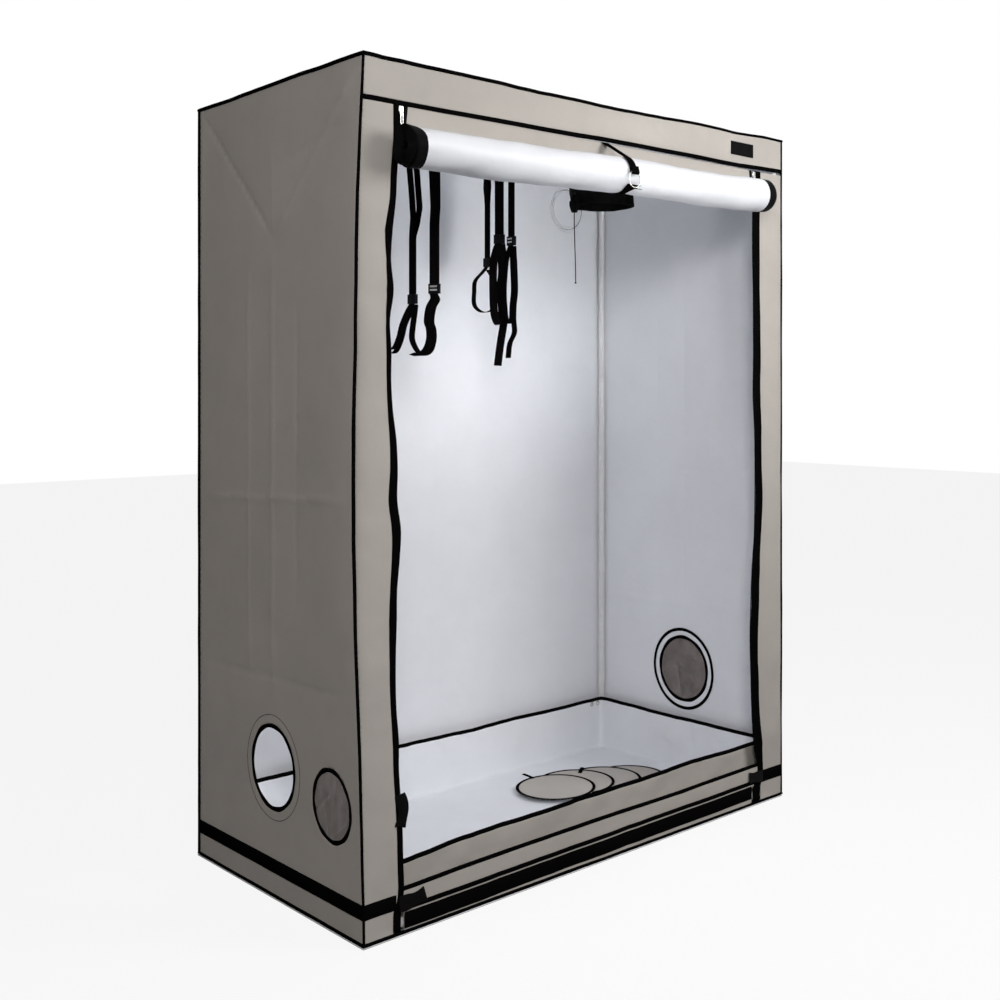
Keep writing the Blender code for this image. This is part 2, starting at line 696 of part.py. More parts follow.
def meshed_port(name, place, centre, radius):
    """A bound rim in a side wall with its mesh sewn across."""
    half, thin = RIM_THICK / 2, MESH_THICK / 2
    rim = ring_plate("X", place - half, place + half, centre, radius, radius - RIM_WIDTH)
    net = prism("X", place - thin, place + thin, circle(centre, radius - RIM_WIDTH / 2))
    make(name, "mesh", [union([rim, net])], smooth=False)


def ports():
    """The side walls' ports, their hook rings inside, and the closed port in the back wall."""
    port, half = (PORT_Y, PORT_Z), RIM_THICK / 2
    rim = ring_plate("X", -WALL_X - half, half - WALL_X, port, PORT_RADIUS, PORT_RADIUS - RIM_WIDTH)
    make("duct_port_rim", "black", [rim])
    meshed_port("vent_left", -WALL_X, (VENT_Y, VENT_Z), VENT_RADIUS)
    meshed_port("vent_right", WALL_X, port, PORT_RADIUS)
    inner = WALL_X - HALF_CLOTH - GAP
    for side, way in (("left", -1), ("right", 1)):
        low, high = sorted((way * inner, way * (inner - BAND_THICK)))
        ring = ring_plate("X", low, high, port, HOOK_RING_RADIUS, HOOK_RING_RADIUS - HOOK_RING_WIDTH)
        make(f"hook_ring_{side}", "black", [ring])
    back = (BACK_PORT_X, BACK_PORT_Z)
    deep = BACK_PORT_DEPTH / 2
    edge = ring_plate("Y", WALL_Y - deep, WALL_Y + deep, back, BACK_PORT_RADIUS,
                      BACK_PORT_RADIUS - RIM_WIDTH)
    flat = circle(back, BACK_PORT_RADIUS - RIM_WIDTH / 2)
    cover = prism("Y", WALL_Y - HALF_CLOTH, WALL_Y + HALF_CLOTH, flat)
    make("back_port_cover", "white", [union([edge, cover])])


def roof_sleeve():
    """A duct sleeve that hangs from the roof port, gathered in folds towards its hem."""
    top, low = ROOF_Z + HALF_CLOTH, ROOF_Z - SLEEVE_LENGTH
    rings = []
    for step in range(ROUND_SIDES):
        turn = 2 * math.pi * step / ROUND_SIDES
        outer, inner = [], []
        for row in range(SLEEVE_ROWS + 1):
            share = row / SLEEVE_ROWS
            fold = 1 - SLEEVE_GATHER_SHARE * share * (math.cos(SLEEVE_FOLDS * turn) + 1) / 2
            radius = SLEEVE_RADIUS * fold
            height = top + (low - top) * share
            for side, reach in ((outer, radius), (inner, radius - CLOTH)):
                side.append((SLEEVE_X + reach * math.cos(turn), SLEEVE_Y + reach * math.sin(turn), height))
        rings.append(outer + inner[::-1])
    make("roof_sleeve", "black", [loft(rings, closed=True)])


def tie_place():
    """Middle of the sleeve's tie, beside the hem."""
    out = SLEEVE_RADIUS + GAP + TIE_RADIUS
    return (SLEEVE_X - out, SLEEVE_Y, ROOF_Z - SLEEVE_LENGTH)


def sleeve_cords():
    """The gathered tie at the hem, the cord that hangs from it and the knot at its end."""
    x, y, z = tie_place()
    rows = 7
    rings = []
    for row in range(rows + 1):
        share = row / rows
        swell = 0.35 + 0.65 * math.sin(math.pi * (0.12 + 0.76 * share))
        ring = circle((x, y), TIE_RADIUS * swell, TUBE_SIDES)
        rings.append([(a, b, z + TIE_LENGTH * (share - 0.5)) for a, b in ring])
    make("sleeve_tie", "black", [loft(rings, closed=False)])
    start = z - TIE_LENGTH / 2 - GAP
    curve = bpy.data.curves.new("sleeve_drawcord", "CURVE")
    curve.dimensions = "3D"
    curve.bevel_depth = CORD_RADIUS
    curve.bevel_resolution = 2
    curve.use_fill_caps = True
    spline = curve.splines.new("POLY")
    count = 25
    spline.points.add(count - 1)
    for index in range(count):
        share = index / (count - 1)
        drift = CORD_DRIFT * (1 - math.cos(math.pi * share)) / 2
        spline.points[index].co = (x + drift, y, start - CORD_LENGTH * share, 1.0)
    curve.materials.append(finish_of("sleeve_drawcord", "black"))
    bpy.context.collection.objects.link(bpy.data.objects.new("sleeve_drawcord", curve))
    low = start - CORD_LENGTH - GAP
    knot = []
    for row in range(7):
        share = row / 6
        swell = 0.45 + 0.55 * math.sin(math.pi * share)
        ring = circle((x + CORD_DRIFT, y), CORD_KNOT * swell, PIPE_SIDES)
        knot.append([(a, b, low - 2 * CORD_KNOT * share) for a, b in ring])
    make("drawcord_knot", "black", [loft(knot, closed=False)])


def tray():
    """The spill tray inside the frame, open on top, with its rim bound into a bead."""
    wall, lip = TRAY_WALL, TRAY_WALL + BINDING_THICK
    neck = TRAY_HEIGHT - BINDING_TALL
    section = [(0.0, TRAY_LOW), (0.0, neck), (BINDING_THICK, neck), (BINDING_THICK, TRAY_HEIGHT)]
    section += [(-lip, TRAY_HEIGHT), (-lip, neck), (-wall, neck), (-wall, TRAY_FLOOR)]
    rings = []
    for way_x, way_y in ((1, 1), (-1, 1), (-1, -1), (1, -1)):
        rings.append([(way_x * (TRAY_X + out), way_y * (TRAY_Y + out), z) for out, z in section])
    points, faces = loft(rings, closed=True)
    size = len(section)
    faces = [face for face in faces if {index % size for index in face} != {0, size - 1}]
    faces.append(tuple(size * corner for corner in range(4)))
    faces.append(tuple(size * corner + size - 1 for corner in range(4)))
    make("spill_tray", "white", [(points, faces)], smooth=False)


def vent_covers():
    """Round port covers in a pile on the tray's floor, each with a bound edge and a pull tab."""
    count = len(COVER_TAB_TURNS)
    for index, toward in enumerate(COVER_TAB_TURNS):
        x, y = COVER_X_SHARES[index] * SIDE, COVER_Y_SHARES[index] * BACK
        level = count - 1 - index
        low = TRAY_FLOOR + GAP + level * (COVER_EDGE + GAP)
        outer = COVER_RADIUS + COVER_BINDING
        half = math.degrees(math.asin(COVER_TAB_WIDTH / 2 / outer))
        rim = arc((x, y), outer, toward + half, toward + 360.0 - half, step=9.0)
        way = Vector((math.cos(math.radians(toward)), math.sin(math.radians(toward))))
        rim.append(tuple(Vector(rim[-1]) + way * COVER_TAB_LENGTH))
        rim.append(tuple(Vector(rim[0]) + way * COVER_TAB_LENGTH))
        edge = prism("Z", low, low + COVER_EDGE, rim, [circle((x, y), COVER_RADIUS)])
        inset = (COVER_EDGE - COVER_THICK) / 2
        disc = circle((x, y), COVER_RADIUS + COVER_BINDING / 2)
        sheet = prism("Z", low + inset, low + inset + COVER_THICK, disc)
        make(f"vent_cover_{index + 1}", "beige", [union([edge, sheet])], pivot=(x, y, low))


def strap_path(place, buckle, index):
    """Path of a hanging strap: up from the buckle, over the bar, down, round a loop and out."""
    over = BAR_RADIUS + GAP + STRAP_THICK / 2
    neck = buckle - BUCKLE_HEIGHT / 2 - GAP
    bend = RAIL_TOP - 4 * BAR_RADIUS
    path = [(place + STRANDS, neck), (place + STRANDS, bend)]
    path += arc((place, RAIL_TOP), over, -15.0, 195.0, step=15.0)
    path += [(place - STRANDS, bend), (place - STRANDS, neck)]
    half = LOOP_WIDTH_SHARES[index] * LOOP_WIDTH / 2
    middle = place + STRANDS - half
    swell_z = RAIL_TOP - LOOP_DROP_SHARES[index] * STRAP_DROP + half
    path.append((middle - half, swell_z + half))
    path += arc((middle, swell_z), half, 180.0, 360.0, step=20.0)
    path.append((place + STRANDS, neck - LOOP_NECK))
    if TAIL_DROP_SHARES[index]:
        fold = (TAIL_OUT - STRANDS) / 2
        path += arc((place + STRANDS + fold, neck - LOOP_NECK + fold), fold, 180.0, 0.0, step=30.0)
        path.append((place + TAIL_OUT, RAIL_TOP - TAIL_DROP_SHARES[index] * STRAP_DROP))
    return path


def hanging_straps():
    """Webbing hangers on the crossbars, each with a slide buckle round both strands."""
    for index, bar in enumerate(STRAP_BARS):
        place, y = BAR_SHARES[bar] * SIDE, STRAP_DEPTH_SHARES[index] * BACK
        buckle = RAIL_TOP - BUCKLE_DROP_SHARES[index] * STRAP_DROP
        path = strap_path(place, buckle, index)
        solid = prism("Y", y - STRAP_WIDTH / 2, y + STRAP_WIDTH / 2, ribbon(path, STRAP_THICK))
        make(f"hanger_strap_{index + 1}", "black", [solid], pivot=(place, y, RAIL_TOP))
        buckle_frame(f"strap_buckle_{index + 1}", place, y, buckle)


def buckle_frame(name, place, y, height):
    """A slide buckle: a frame with a bar between the two strands that run through it."""
    half_x, half_y, half_z = BUCKLE_DEPTH / 2, BUCKLE_WIDTH / 2, BUCKLE_HEIGHT / 2
    outline = rectangle(place - half_x, place + half_x, y - half_y, y + half_y)
    slots = []
    for way in (-1, 1):
        near = way * BUCKLE_BAR / 2
        far = way * (half_x - BUCKLE_WALL)
        low, high = sorted((place + near, place + far))
        reach = STRAP_WIDTH / 2 + RUN
        slots.append(rectangle(low, high, y - reach, y + reach))
    make(name, "plastic", [prism("Z", height - half_z, height + half_z, outline, slots)],
         smooth=False, pivot=(place, y, height))


def build_tent():
    """Build every sub-part of the tent."""
    clear_scene()
    frame_tubes()
    crossbars()
    walls()
    front_panels()
    edge_piping()
    base_band()
    sill()
    zips()
    door()
    roll_straps()
    strap_ring()
    ports()
    roof_sleeve()
    sleeve_cords()
    tray()
    vent_covers()
    hanging_straps()


build_tent()
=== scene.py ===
"""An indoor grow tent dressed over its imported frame: cloth, binding, webbing, zips, ports, tray and hangers."""

from __future__ import annotations

import json
import logging
import math
import sys
from dataclasses import dataclass, field
from enum import Enum
from typing import Callable, Iterable, Sequence

import bmesh
import bpy
import numpy as np
from mathutils import Matrix, Vector
from mathutils.geometry import delaunay_2d_cdt

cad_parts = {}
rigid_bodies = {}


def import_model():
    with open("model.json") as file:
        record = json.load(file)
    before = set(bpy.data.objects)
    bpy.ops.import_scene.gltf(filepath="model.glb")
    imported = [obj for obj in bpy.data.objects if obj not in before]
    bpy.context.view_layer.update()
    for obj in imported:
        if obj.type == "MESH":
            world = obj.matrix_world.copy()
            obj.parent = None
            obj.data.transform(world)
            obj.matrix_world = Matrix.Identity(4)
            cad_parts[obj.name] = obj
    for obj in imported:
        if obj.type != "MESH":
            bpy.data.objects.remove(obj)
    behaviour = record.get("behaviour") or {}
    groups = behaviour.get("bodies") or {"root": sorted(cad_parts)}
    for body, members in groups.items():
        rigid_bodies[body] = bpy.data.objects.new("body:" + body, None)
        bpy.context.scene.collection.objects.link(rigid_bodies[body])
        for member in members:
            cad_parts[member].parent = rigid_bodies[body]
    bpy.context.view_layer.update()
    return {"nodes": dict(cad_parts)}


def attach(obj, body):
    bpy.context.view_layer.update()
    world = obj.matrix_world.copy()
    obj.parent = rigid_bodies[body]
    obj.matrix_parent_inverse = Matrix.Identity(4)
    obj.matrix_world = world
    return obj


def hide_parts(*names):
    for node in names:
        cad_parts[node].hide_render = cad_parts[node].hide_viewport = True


log = logging.getLogger("grow_tent")
Piece, Node, Socket = bpy.types.Object, bpy.types.Node, bpy.types.NodeSocket
Flat = tuple[float, float]
Spot = tuple[float, float, float]
Faces = list[tuple[int, ...]]
Inputs = dict[str | int, object]
Relief = Callable[[np.ndarray], np.ndarray]

# Sizes that the whole cover shares, in metres

SIDE, BACK, TOP = 0.75, 0.40, 2.0
PIPE, CLOTH, GAP = 0.0045, 0.0015, 0.0003
STRAP_WIDTH, STRAP = 0.025, 0.0016
WALL_X, WALL_Y, ROOF_Z = SIDE - PIPE, BACK - PIPE, TOP - PIPE
BASE_Z = CLOTH + GAP + PIPE
RAIL_Z = TOP - 0.02005
DOOR_TOP = 1.9027
TENT = "tent"
FORWARD, UP = (0, -1, 0), (0, 0, 1)
STITCH = (0.0030, 0.0005)
STITCH_PITCH = 0.0042


# Shader wiring


class Wiring:
    """Adds nodes to one shader tree and joins them."""

    def __init__(self, tree: bpy.types.NodeTree) -> None:
        """Keep the tree that the nodes go into."""
        self.tree = tree

    def fill(self, node: Node, inputs: Inputs) -> None:
        """Set a node's inputs.

        Args:
            node: The node.
            inputs: Values or sockets, by name or number.
        """
        for key, value in inputs.items():
            if isinstance(value, Socket):
                self.tree.links.new(value, node.inputs[key])
            else:
                node.inputs[key].default_value = value

    def add(self, kind: str, inputs: Inputs | None = None, **settings: object) -> Node:
        """Add one node.

        Args:
            kind: The node's Blender type name.
            inputs: Values or sockets for its inputs, by name or number.
            **settings: Properties of the node itself.

        Returns:
            The new node.
        """
        node = self.tree.nodes.new(kind)
        for key, value in settings.items():
            setattr(node, key, value)
        self.fill(node, inputs or {})
        return node

    def sum(self, operation: str, *values: object) -> Socket:
        """Add a Math node."""
        return self.add("ShaderNodeMath", dict(enumerate(values)), operation=operation).outputs[0]

    def blend(self, share: object, low: object, high: object) -> Socket:
        """Mix two colours."""
        return self.add("ShaderNodeMix", {0: share, 6: low, 7: high}, data_type="RGBA").outputs[2]

    def spread(self, value: Socket, low: float, high: float) -> Socket:
        """Map a value from 0..1 to a range."""
        return self.add("ShaderNodeMapRange", {0: value, 3: low, 4: high}).outputs[0]

    def noise(self, spot: Socket, scale: object, **more: float) -> Socket:
        """Add a Noise Texture node."""
        return self.add("ShaderNodeTexNoise", {"Vector": spot, "Scale": scale, **more}).outputs[0]

    def relief(self, height: Socket, deep: float, **more: object) -> Socket:
        """Add a Bump node, where a height of 1 stands for a depth in metres."""
        return self.add("ShaderNodeBump", {"Strength": 1.0, "Distance": deep, "Height": height, **more}).outputs[0]

    def seen(self) -> Socket:
        """Whether a ray comes from the camera, a gloss or a pane."""
        rays = self.add("ShaderNodeLightPath").outputs
        return self.sum("MAXIMUM", rays["Is Camera Ray"],
                        self.sum("MAXIMUM", rays["Is Glossy Ray"], rays["Is Transmission Ray"]))


Maker = Callable[[Wiring, bpy.types.NodeOutputs], dict[str, Socket]]


def shared_group(name: str, inputs: dict[str, float | None], maker: Maker) -> bpy.types.NodeTree:
    """Give a shader node group, and make it the first time.

    Args:
        name: The group's name.
        inputs: Its inputs and their defaults, None for a vector.
        maker: Builds the nodes from the inputs and returns the outputs by name.

    Returns:
        The group's tree.
    """
    tree = bpy.data.node_groups.get(name)
    if tree is not None:
        return tree
    tree = bpy.data.node_groups.new(name, "ShaderNodeTree")
    for label, value in inputs.items():
        kind = "NodeSocketVector" if value is None else "NodeSocketFloat"
        socket = tree.interface.new_socket(label, in_out="INPUT", socket_type=kind)
        if value is not None:
            socket.default_value = value
    wires = Wiring(tree)
    made = maker(wires, wires.add("NodeGroupInput").outputs)
    for label in made:
        tree.interface.new_socket(label, in_out="OUTPUT", socket_type="NodeSocketFloat")
    wires.add("NodeGroupOutput", dict(made))
    return tree


def weave_nodes(wires: Wiring, given: bpy.types.NodeOutputs) -> dict[str, Socket]:
    """Threads over and under each other, Pitch apart one way and Pitch times Ratio the other.

    Args:
        wires: The group's wiring.
        given: The group's inputs.

    Returns:
        The threads' height and a tint that differs from thread to thread.
    """
    axes = wires.add("ShaderNodeSeparateXYZ", {0: given["Vector"]}).outputs
    across = wires.sum("DIVIDE", axes[0], given["Pitch"])
    along = wires.sum("DIVIDE", axes[1], wires.sum("MULTIPLY", given["Pitch"], given["Ratio"]))
    waves = [wires.sum("SINE", wires.sum("MULTIPLY", count, math.pi)) for count in (across, along)]
    height = wires.sum("MULTIPLY_ADD", wires.sum("MULTIPLY", *waves), 0.5, 0.5)
    cells = wires.add("ShaderNodeCombineXYZ", {0: wires.sum("FLOOR", across), 1: wires.sum("FLOOR", along)})
    tint = wires.add("ShaderNodeTexWhiteNoise", {0: cells.outputs[0]}, noise_dimensions="3D").outputs[0]
    return {"Height": height, "Tint": tint}


def mottle_nodes(wires: Wiring, given: bpy.types.NodeOutputs) -> dict[str, Socket]:
    """Soft uneven shade, as on cloth that has been handled, with a finer grain beside it.

    Args:
        wires: The group's wiring.
        given: The group's inputs.

    Returns:
        The broad shade and the fine grain, both 0 to 1.
    """
    broad = wires.noise(given["Vector"], given["Scale"], Detail=5.0, Roughness=0.6)
    finer = wires.sum("MULTIPLY", given["Scale"], given["Finer"])
    shade = wires.add("ShaderNodeMapRange", {0: broad, 1: 0.32, 2: 0.68}).outputs[0]
    return {"Shade": shade, "Grain": wires.noise(given["Vector"], finer, Detail=2.0)}


def crinkle_nodes(wires: Wiring, given: bpy.types.NodeOutputs) -> dict[str, Socket]:
    """Sharp little ridges between flat facets, as in cloth that was folded and pulled flat again.

    Args:
        wires: The group's wiring.
        given: The group's inputs.

    Returns:
        The ridges' height, 0 to 1.
    """
    heights = []
    for share in (1.0, 2.7):
        scale = wires.sum("MULTIPLY", given["Scale"], share)
        cloud = wires.noise(given["Vector"], scale, Detail=3.0, Distortion=0.6)
        fold = wires.sum("ABSOLUTE", wires.sum("MULTIPLY_ADD", cloud, 2.0, -1.0))
        heights.append(wires.sum("POWER", wires.sum("SUBTRACT", 1.0, fold), 3.0))
    return {"Height": wires.sum("MULTIPLY_ADD", heights[1], 0.35, heights[0])}


def wear_nodes(wires: Wiring, given: bpy.types.NodeOutputs) -> dict[str, Socket]:
    """Scuffs and specks that cover a share of the surface.

    Args:
        wires: The group's wiring.
        given: The group's inputs.

    Returns:
        The worn places' mask, 0 to 1.
    """
    cloud = wires.noise(given["Vector"], given["Scale"], Detail=6.0, Roughness=0.7)
    over = wires.sum("SUBTRACT", cloud, wires.sum("SUBTRACT", 1.0, given["Share"]))
    return {"Mask": wires.add("ShaderNodeClamp", {0: wires.sum("MULTIPLY", over, 6.0)}).outputs[0]}


class Effect(Enum):
    """The shader effects that several finishes share."""

    WEAVE = ("thread_weave", {"Vector": None, "Pitch": 0.001, "Ratio": 1.0}, weave_nodes)
    MOTTLE = ("cloth_mottle", {"Vector": None, "Scale": 6.0, "Finer": 9.0}, mottle_nodes)
    CRINKLE = ("cloth_crinkle", {"Vector": None, "Scale": 8.0}, crinkle_nodes)
    WEAR = ("surface_wear", {"Vector": None, "Scale": 60.0, "Share": 0.4}, wear_nodes)

    def place(self, wires: Wiring, **inputs: object) -> bpy.types.NodeOutputs:
        """Place the effect's group in a material and give its outputs."""
        return wires.add("ShaderNodeGroup", inputs, node_tree=shared_group(*self.value)).outputs


def rgba(colour: Spot, times: float = 1.0) -> tuple[float, float, float, float]:
    """A colour, made lighter or darker, with full alpha."""
    return (*(min(1.0, part * times) for part in colour), 1.0)


@dataclass(frozen=True)
class Finish:
    """A named finish, whose material is made when it is first asked for."""

    name: str
    colour: Spot

    def material(self) -> bpy.types.Material:
        """Give the finish's material.

        Returns:
            The material.
        """
        material = bpy.data.materials.get(self.name)
        if material is None:
            material = bpy.data.materials.new(self.name)
            material.use_nodes = True
            wires = Wiring(material.node_tree)
            inputs = self.inputs(wires, wires.add("ShaderNodeTexCoord").outputs)
            wires.fill(material.node_tree.nodes["Principled BSDF"], inputs)
        return material


@dataclass(frozen=True)
class Cloth(Finish):
    """A woven or coated cloth whose threads follow the piece's own UV map, in metres."""

    roughness: float
    pitch: float
    ratio: float = 1.0
    thread_depth: float = 0.0002
    # Share by which each thread's tone varies at random, and by which painted shade darkens the hollows between
    # threads
    thread_tint_and_hollow_shade: float = 0.08
    crinkle_scale: float = 8.0
    crinkle_depth: float = 0.0006
    shade: float = 0.08
    sheen: float = 0.1
    gloss: float = 0.35

    def inputs(self, wires: Wiring, spot: bpy.types.NodeOutputs) -> Inputs:
        """Wire what goes into the shader.

        Args:
            wires: The material's wiring.
            spot: The texture coordinates.

        Returns:
            The shader's inputs.
        """
        weave = Effect.WEAVE.place(wires, Vector=spot["UV"], Pitch=self.pitch, Ratio=self.ratio)
        mottle = Effect.MOTTLE.place(wires, Vector=spot["Object"], Scale=5.0)
        crinkle = Effect.CRINKLE.place(wires, Vector=spot["Object"], Scale=self.crinkle_scale)
        broad = wires.blend(mottle["Shade"], rgba(self.colour, 1.0 - self.shade), rgba(self.colour, 1.0 + self.shade))
        thread = wires.sum("MULTIPLY", weave["Tint"], self.thread_tint_and_hollow_shade)
        # low is painted shade: it darkens the colour where the threads sink between each other
        low = wires.sum("MULTIPLY", wires.sum("SUBTRACT", 1.0, weave["Height"]), self.thread_tint_and_hollow_shade)
        folds = wires.relief(crinkle["Height"], self.crinkle_depth, Strength=0.6)
        return {"Sheen Weight": self.sheen, "Sheen Roughness": 0.6, "Specular IOR Level": self.gloss,
                "Base Color": wires.blend(wires.sum("ADD", thread, low), broad, rgba(self.colour, 0.35)),
                "Roughness": wires.spread(mottle["Grain"], self.roughness - 0.10, self.roughness + 0.10),
                "Normal": wires.relief(weave["Height"], self.thread_depth, Strength=0.5, Normal=folds)}


@dataclass(frozen=True)
class Net(Finish):
    """A fine open net, see-through between its threads."""

    pitch: float
    open_share: float

    def inputs(self, wires: Wiring, spot: bpy.types.NodeOutputs) -> Inputs:
        """Wire what goes into the shader.

        Args:
            wires: The material's wiring.
            spot: The texture coordinates.

        Returns:
            The shader's inputs.
        """
        weave = Effect.WEAVE.place(wires, Vector=spot["UV"], Pitch=self.pitch)
        mottle = Effect.MOTTLE.place(wires, Vector=spot["Object"], Scale=14.0)
        axes = wires.add("ShaderNodeSeparateXYZ", {0: spot["UV"]}).outputs
        solid = []
        for axis in (axes[0], axes[1]):
            share = wires.sum("FRACT", wires.sum("DIVIDE", axis, self.pitch))
            middle = wires.sum("ABSOLUTE", wires.sum("SUBTRACT", share, 0.5))
            solid.append(wires.sum("GREATER_THAN", middle, math.sqrt(self.open_share) / 2))
        return {"Sheen Weight": 0.2, "Alpha": wires.sum("MAXIMUM", *solid),
                "Base Color": wires.blend(mottle["Shade"], rgba(self.colour, 0.75), rgba(self.colour, 1.25)),
                "Roughness": wires.spread(mottle["Grain"], 0.5, 0.8),
                "Normal": wires.relief(weave["Height"], 0.0003, Strength=0.6)}


@dataclass(frozen=True)
class Hard(Finish):
    """A painted, plated or moulded finish with scuffs and a fine grain."""

    worn: Spot
    roughness: float
    metallic: float = 0.0
    grain_scale: float = 900.0
    grain_depth: float = 0.00005
    wear: float = 0.35
    coat: float = 0.0
    gloss: float = 0.5

    def inputs(self, wires: Wiring, spot: bpy.types.NodeOutputs) -> Inputs:
        """Wire what goes into the shader.

        Args:
            wires: The material's wiring.
            spot: The texture coordinates.

        Returns:
            The shader's inputs.
        """
        wear = Effect.WEAR.place(wires, Vector=spot["Object"], Scale=80.0, Share=self.wear)["Mask"]
        mottle = Effect.MOTTLE.place(wires, Vector=spot["Object"], Scale=20.0, Finer=self.grain_scale / 20.0)
        plain = wires.blend(mottle["Shade"], rgba(self.colour, 0.94), rgba(self.colour, 1.04))
        return {"Metallic": self.metallic, "Coat Weight": self.coat, "Specular IOR Level": self.gloss,
                "Base Color": wires.blend(wires.sum("MULTIPLY", wear, 0.6), plain, rgba(self.worn)),
                "Roughness": wires.spread(wear, self.roughness, min(1.0, self.roughness + 0.25)),
                "Normal": wires.relief(mottle["Grain"], self.grain_depth)}


BEIGE = Cloth("beige_coated_cloth", (0.500, 0.468, 0.430), 0.72, 0.0011, crinkle_scale=5.0, crinkle_depth=0.0007,
              shade=0.05, thread_tint_and_hollow_shade=0.07, gloss=0.2)
FILM = Cloth("white_reflective_film", (0.870, 0.885, 0.925), 0.42, 0.0024, thread_tint_and_hollow_shade=0.015, thread_depth=0.00008,
             crinkle_scale=7.0, crinkle_depth=0.0009, shade=0.025, sheen=0.0, gloss=0.3)
WEBBING = Cloth("ribbed_webbing", (0.0050, 0.0044, 0.0046), 0.85, 0.0016, 0.6, thread_depth=0.0005, thread_tint_and_hollow_shade=0.3,
                crinkle_scale=20.0, crinkle_depth=0.0004, shade=0.15, sheen=0.0, gloss=0.0)
BINDING = Cloth("black_binding", (0.0042, 0.0038, 0.0039), 0.85, 0.0008, thread_depth=0.0003, thread_tint_and_hollow_shade=0.3,
                crinkle_scale=30.0, crinkle_depth=0.0005, shade=0.15, sheen=0.0, gloss=0.0)
BLACK_CLOTH = Cloth("black_coated_cloth", (0.0048, 0.0046, 0.0049), 0.55, 0.0011, crinkle_scale=16.0,
                    crinkle_depth=0.0012, shade=0.12, thread_tint_and_hollow_shade=0.15, sheen=0.0, gloss=0.02)
THREAD = Cloth("sewing_thread", (0.30, 0.275, 0.245), 0.6, 0.0004, thread_depth=0.0001, crinkle_depth=0.0001)
CORD = Cloth("braided_cord", (0.0055, 0.0052, 0.0053), 0.6, 0.0012, 0.8, thread_depth=0.0005, thread_tint_and_hollow_shade=0.3,
             sheen=0.0, gloss=0.0)
NET = Net("insect_net", (0.19, 0.160, 0.148), 0.0016, 0.12)
POWDER_COAT = Hard("white_powder_coat", (0.80, 0.80, 0.80), (0.62, 0.62, 0.60), 0.40, wear=0.30, coat=0.1)
PLATED = Hard("nickel_plate", (0.58, 0.57, 0.55), (0.36, 0.34, 0.32), 0.24, 1.0, grain_scale=600.0, wear=0.38)
MOULDED = Hard("moulded_black_plastic", (0.008, 0.008, 0.009), (0.02, 0.02, 0.02), 0.40, grain_scale=1500.0,
               gloss=0.02)


# Shapes


@dataclass
class Shape:
    """Points, faces, slots and UVs of a soft piece while it is put together."""

    points: list[np.ndarray] = field(default_factory=list)
    faces: Faces = field(default_factory=list)
    slots: list[int] = field(default_factory=list)
    marks: list[Sequence[Flat]] = field(default_factory=list)
    count: int = 0

    def add(self, points: np.ndarray, faces: Iterable[Sequence[int]], marks: Iterable[Sequence[Flat]],
            slot: int = 0) -> None:
        """Add a block of points and the faces on them.

        Args:
            points: The block's points, one row each.
            faces: Corner numbers within the block.
            marks: UVs for each face's corners.
            slot: The material slot of the faces.
        """
        block = np.asarray(points, float).reshape(-1, 3)
        for face, mark in zip(faces, marks):
            self.faces.append(tuple(self.count + int(corner) for corner in face))
            self.marks.append(mark)
            self.slots.append(slot)
        self.points.append(block)
        self.count += len(block)

    def grid(self, points: np.ndarray, across: Sequence[float], along: Sequence[float], ring: bool = False,
             loop: bool = False, flip: bool = False, slot: int = 0) -> None:
        """Add a grid of points, row after row, with its quads.

        Args:
            points: The points.
            across: The UV places along a row, with the closing one last if the row is a ring.
            along: The UV places of the rows, with the closing one last if the rows are a loop.
            ring: Whether each row is closed.
            loop: Whether the last row joins the first.
            flip: Whether the faces look the other way.
            slot: The material slot.
        """
        columns, rows = len(across) - ring, len(along) - loop
        faces, marks = [], []
        for row in range(len(along) - 1):
            for column in range(len(across) - 1):
                after, beside = (row + 1) % rows, (column + 1) % columns
                faces.append((row * columns + column, row * columns + beside,
                              after * columns + beside, after * columns + column))
                marks.append(((across[column], along[row]), (across[column + 1], along[row]),
                              (across[column + 1], along[row + 1]), (across[column], along[row + 1])))
        way = -1 if flip else 1
        self.add(points, [face[::way] for face in faces], [mark[::way] for mark in marks], slot)

    def caps(self, places: Sequence[float], ends: Flat, slot: int = 0) -> None:
        """Close both ends of the tube that was added last.

        Args:
            places: The first UV place of each point in a row of it.
            ends: The second UV place at its start and at its end.
            slot: The material slot.
        """
        sides, last = len(places), self.count - len(places)
        for start, order, end in ((self.count - len(self.points[-1]), range(sides)[::-1], ends[0]),
                                  (last, range(sides), ends[1])):
            self.faces.append(tuple(start + number for number in order))
            self.marks.append([(float(places[number]), end) for number in order])
            self.slots.append(slot)

    def build(self, name: str, finishes: Sequence[Finish]) -> Piece:
        """Make the object.

        Args:
            name: The object's name.
            finishes: The finish of each slot.

        Returns:
            The object, at the origin.
        """
        mesh = bpy.data.meshes.new(name)
        mesh.from_pydata(np.concatenate(self.points).tolist(), [], self.faces)
        flat = np.array([pair for mark in self.marks for pair in mark], dtype=np.float32)
        mesh.uv_layers.new(name="cloth").data.foreach_set("uv", flat.ravel())
        mesh.polygons.foreach_set("material_index", self.slots)
        mesh.polygons.foreach_set("use_smooth", [True] * len(self.faces))
        for finish in finishes:
            mesh.materials.append(finish.material())
        mesh.update()
        return linked(name, mesh)


def linked(name: str, data: bpy.types.ID) -> Piece:
    """Make an object and link it to the scene.

    Args:
        name: Its name.
        data: Its mesh, curve, lamp or camera.

    Returns:
        The object.
    """
    piece = bpy.data.objects.new(name, data)
    bpy.context.collection.objects.link(piece)
    return piece


def only(piece: Piece | None) -> None:
    """Select one object alone and make it active, or select nothing.

    Args:
        piece: The object.
    """
    for other in bpy.context.selected_objects:
        other.select_set(False)
    if piece is not None:
        piece.select_set(True)
        bpy.context.view_layer.objects.active = piece


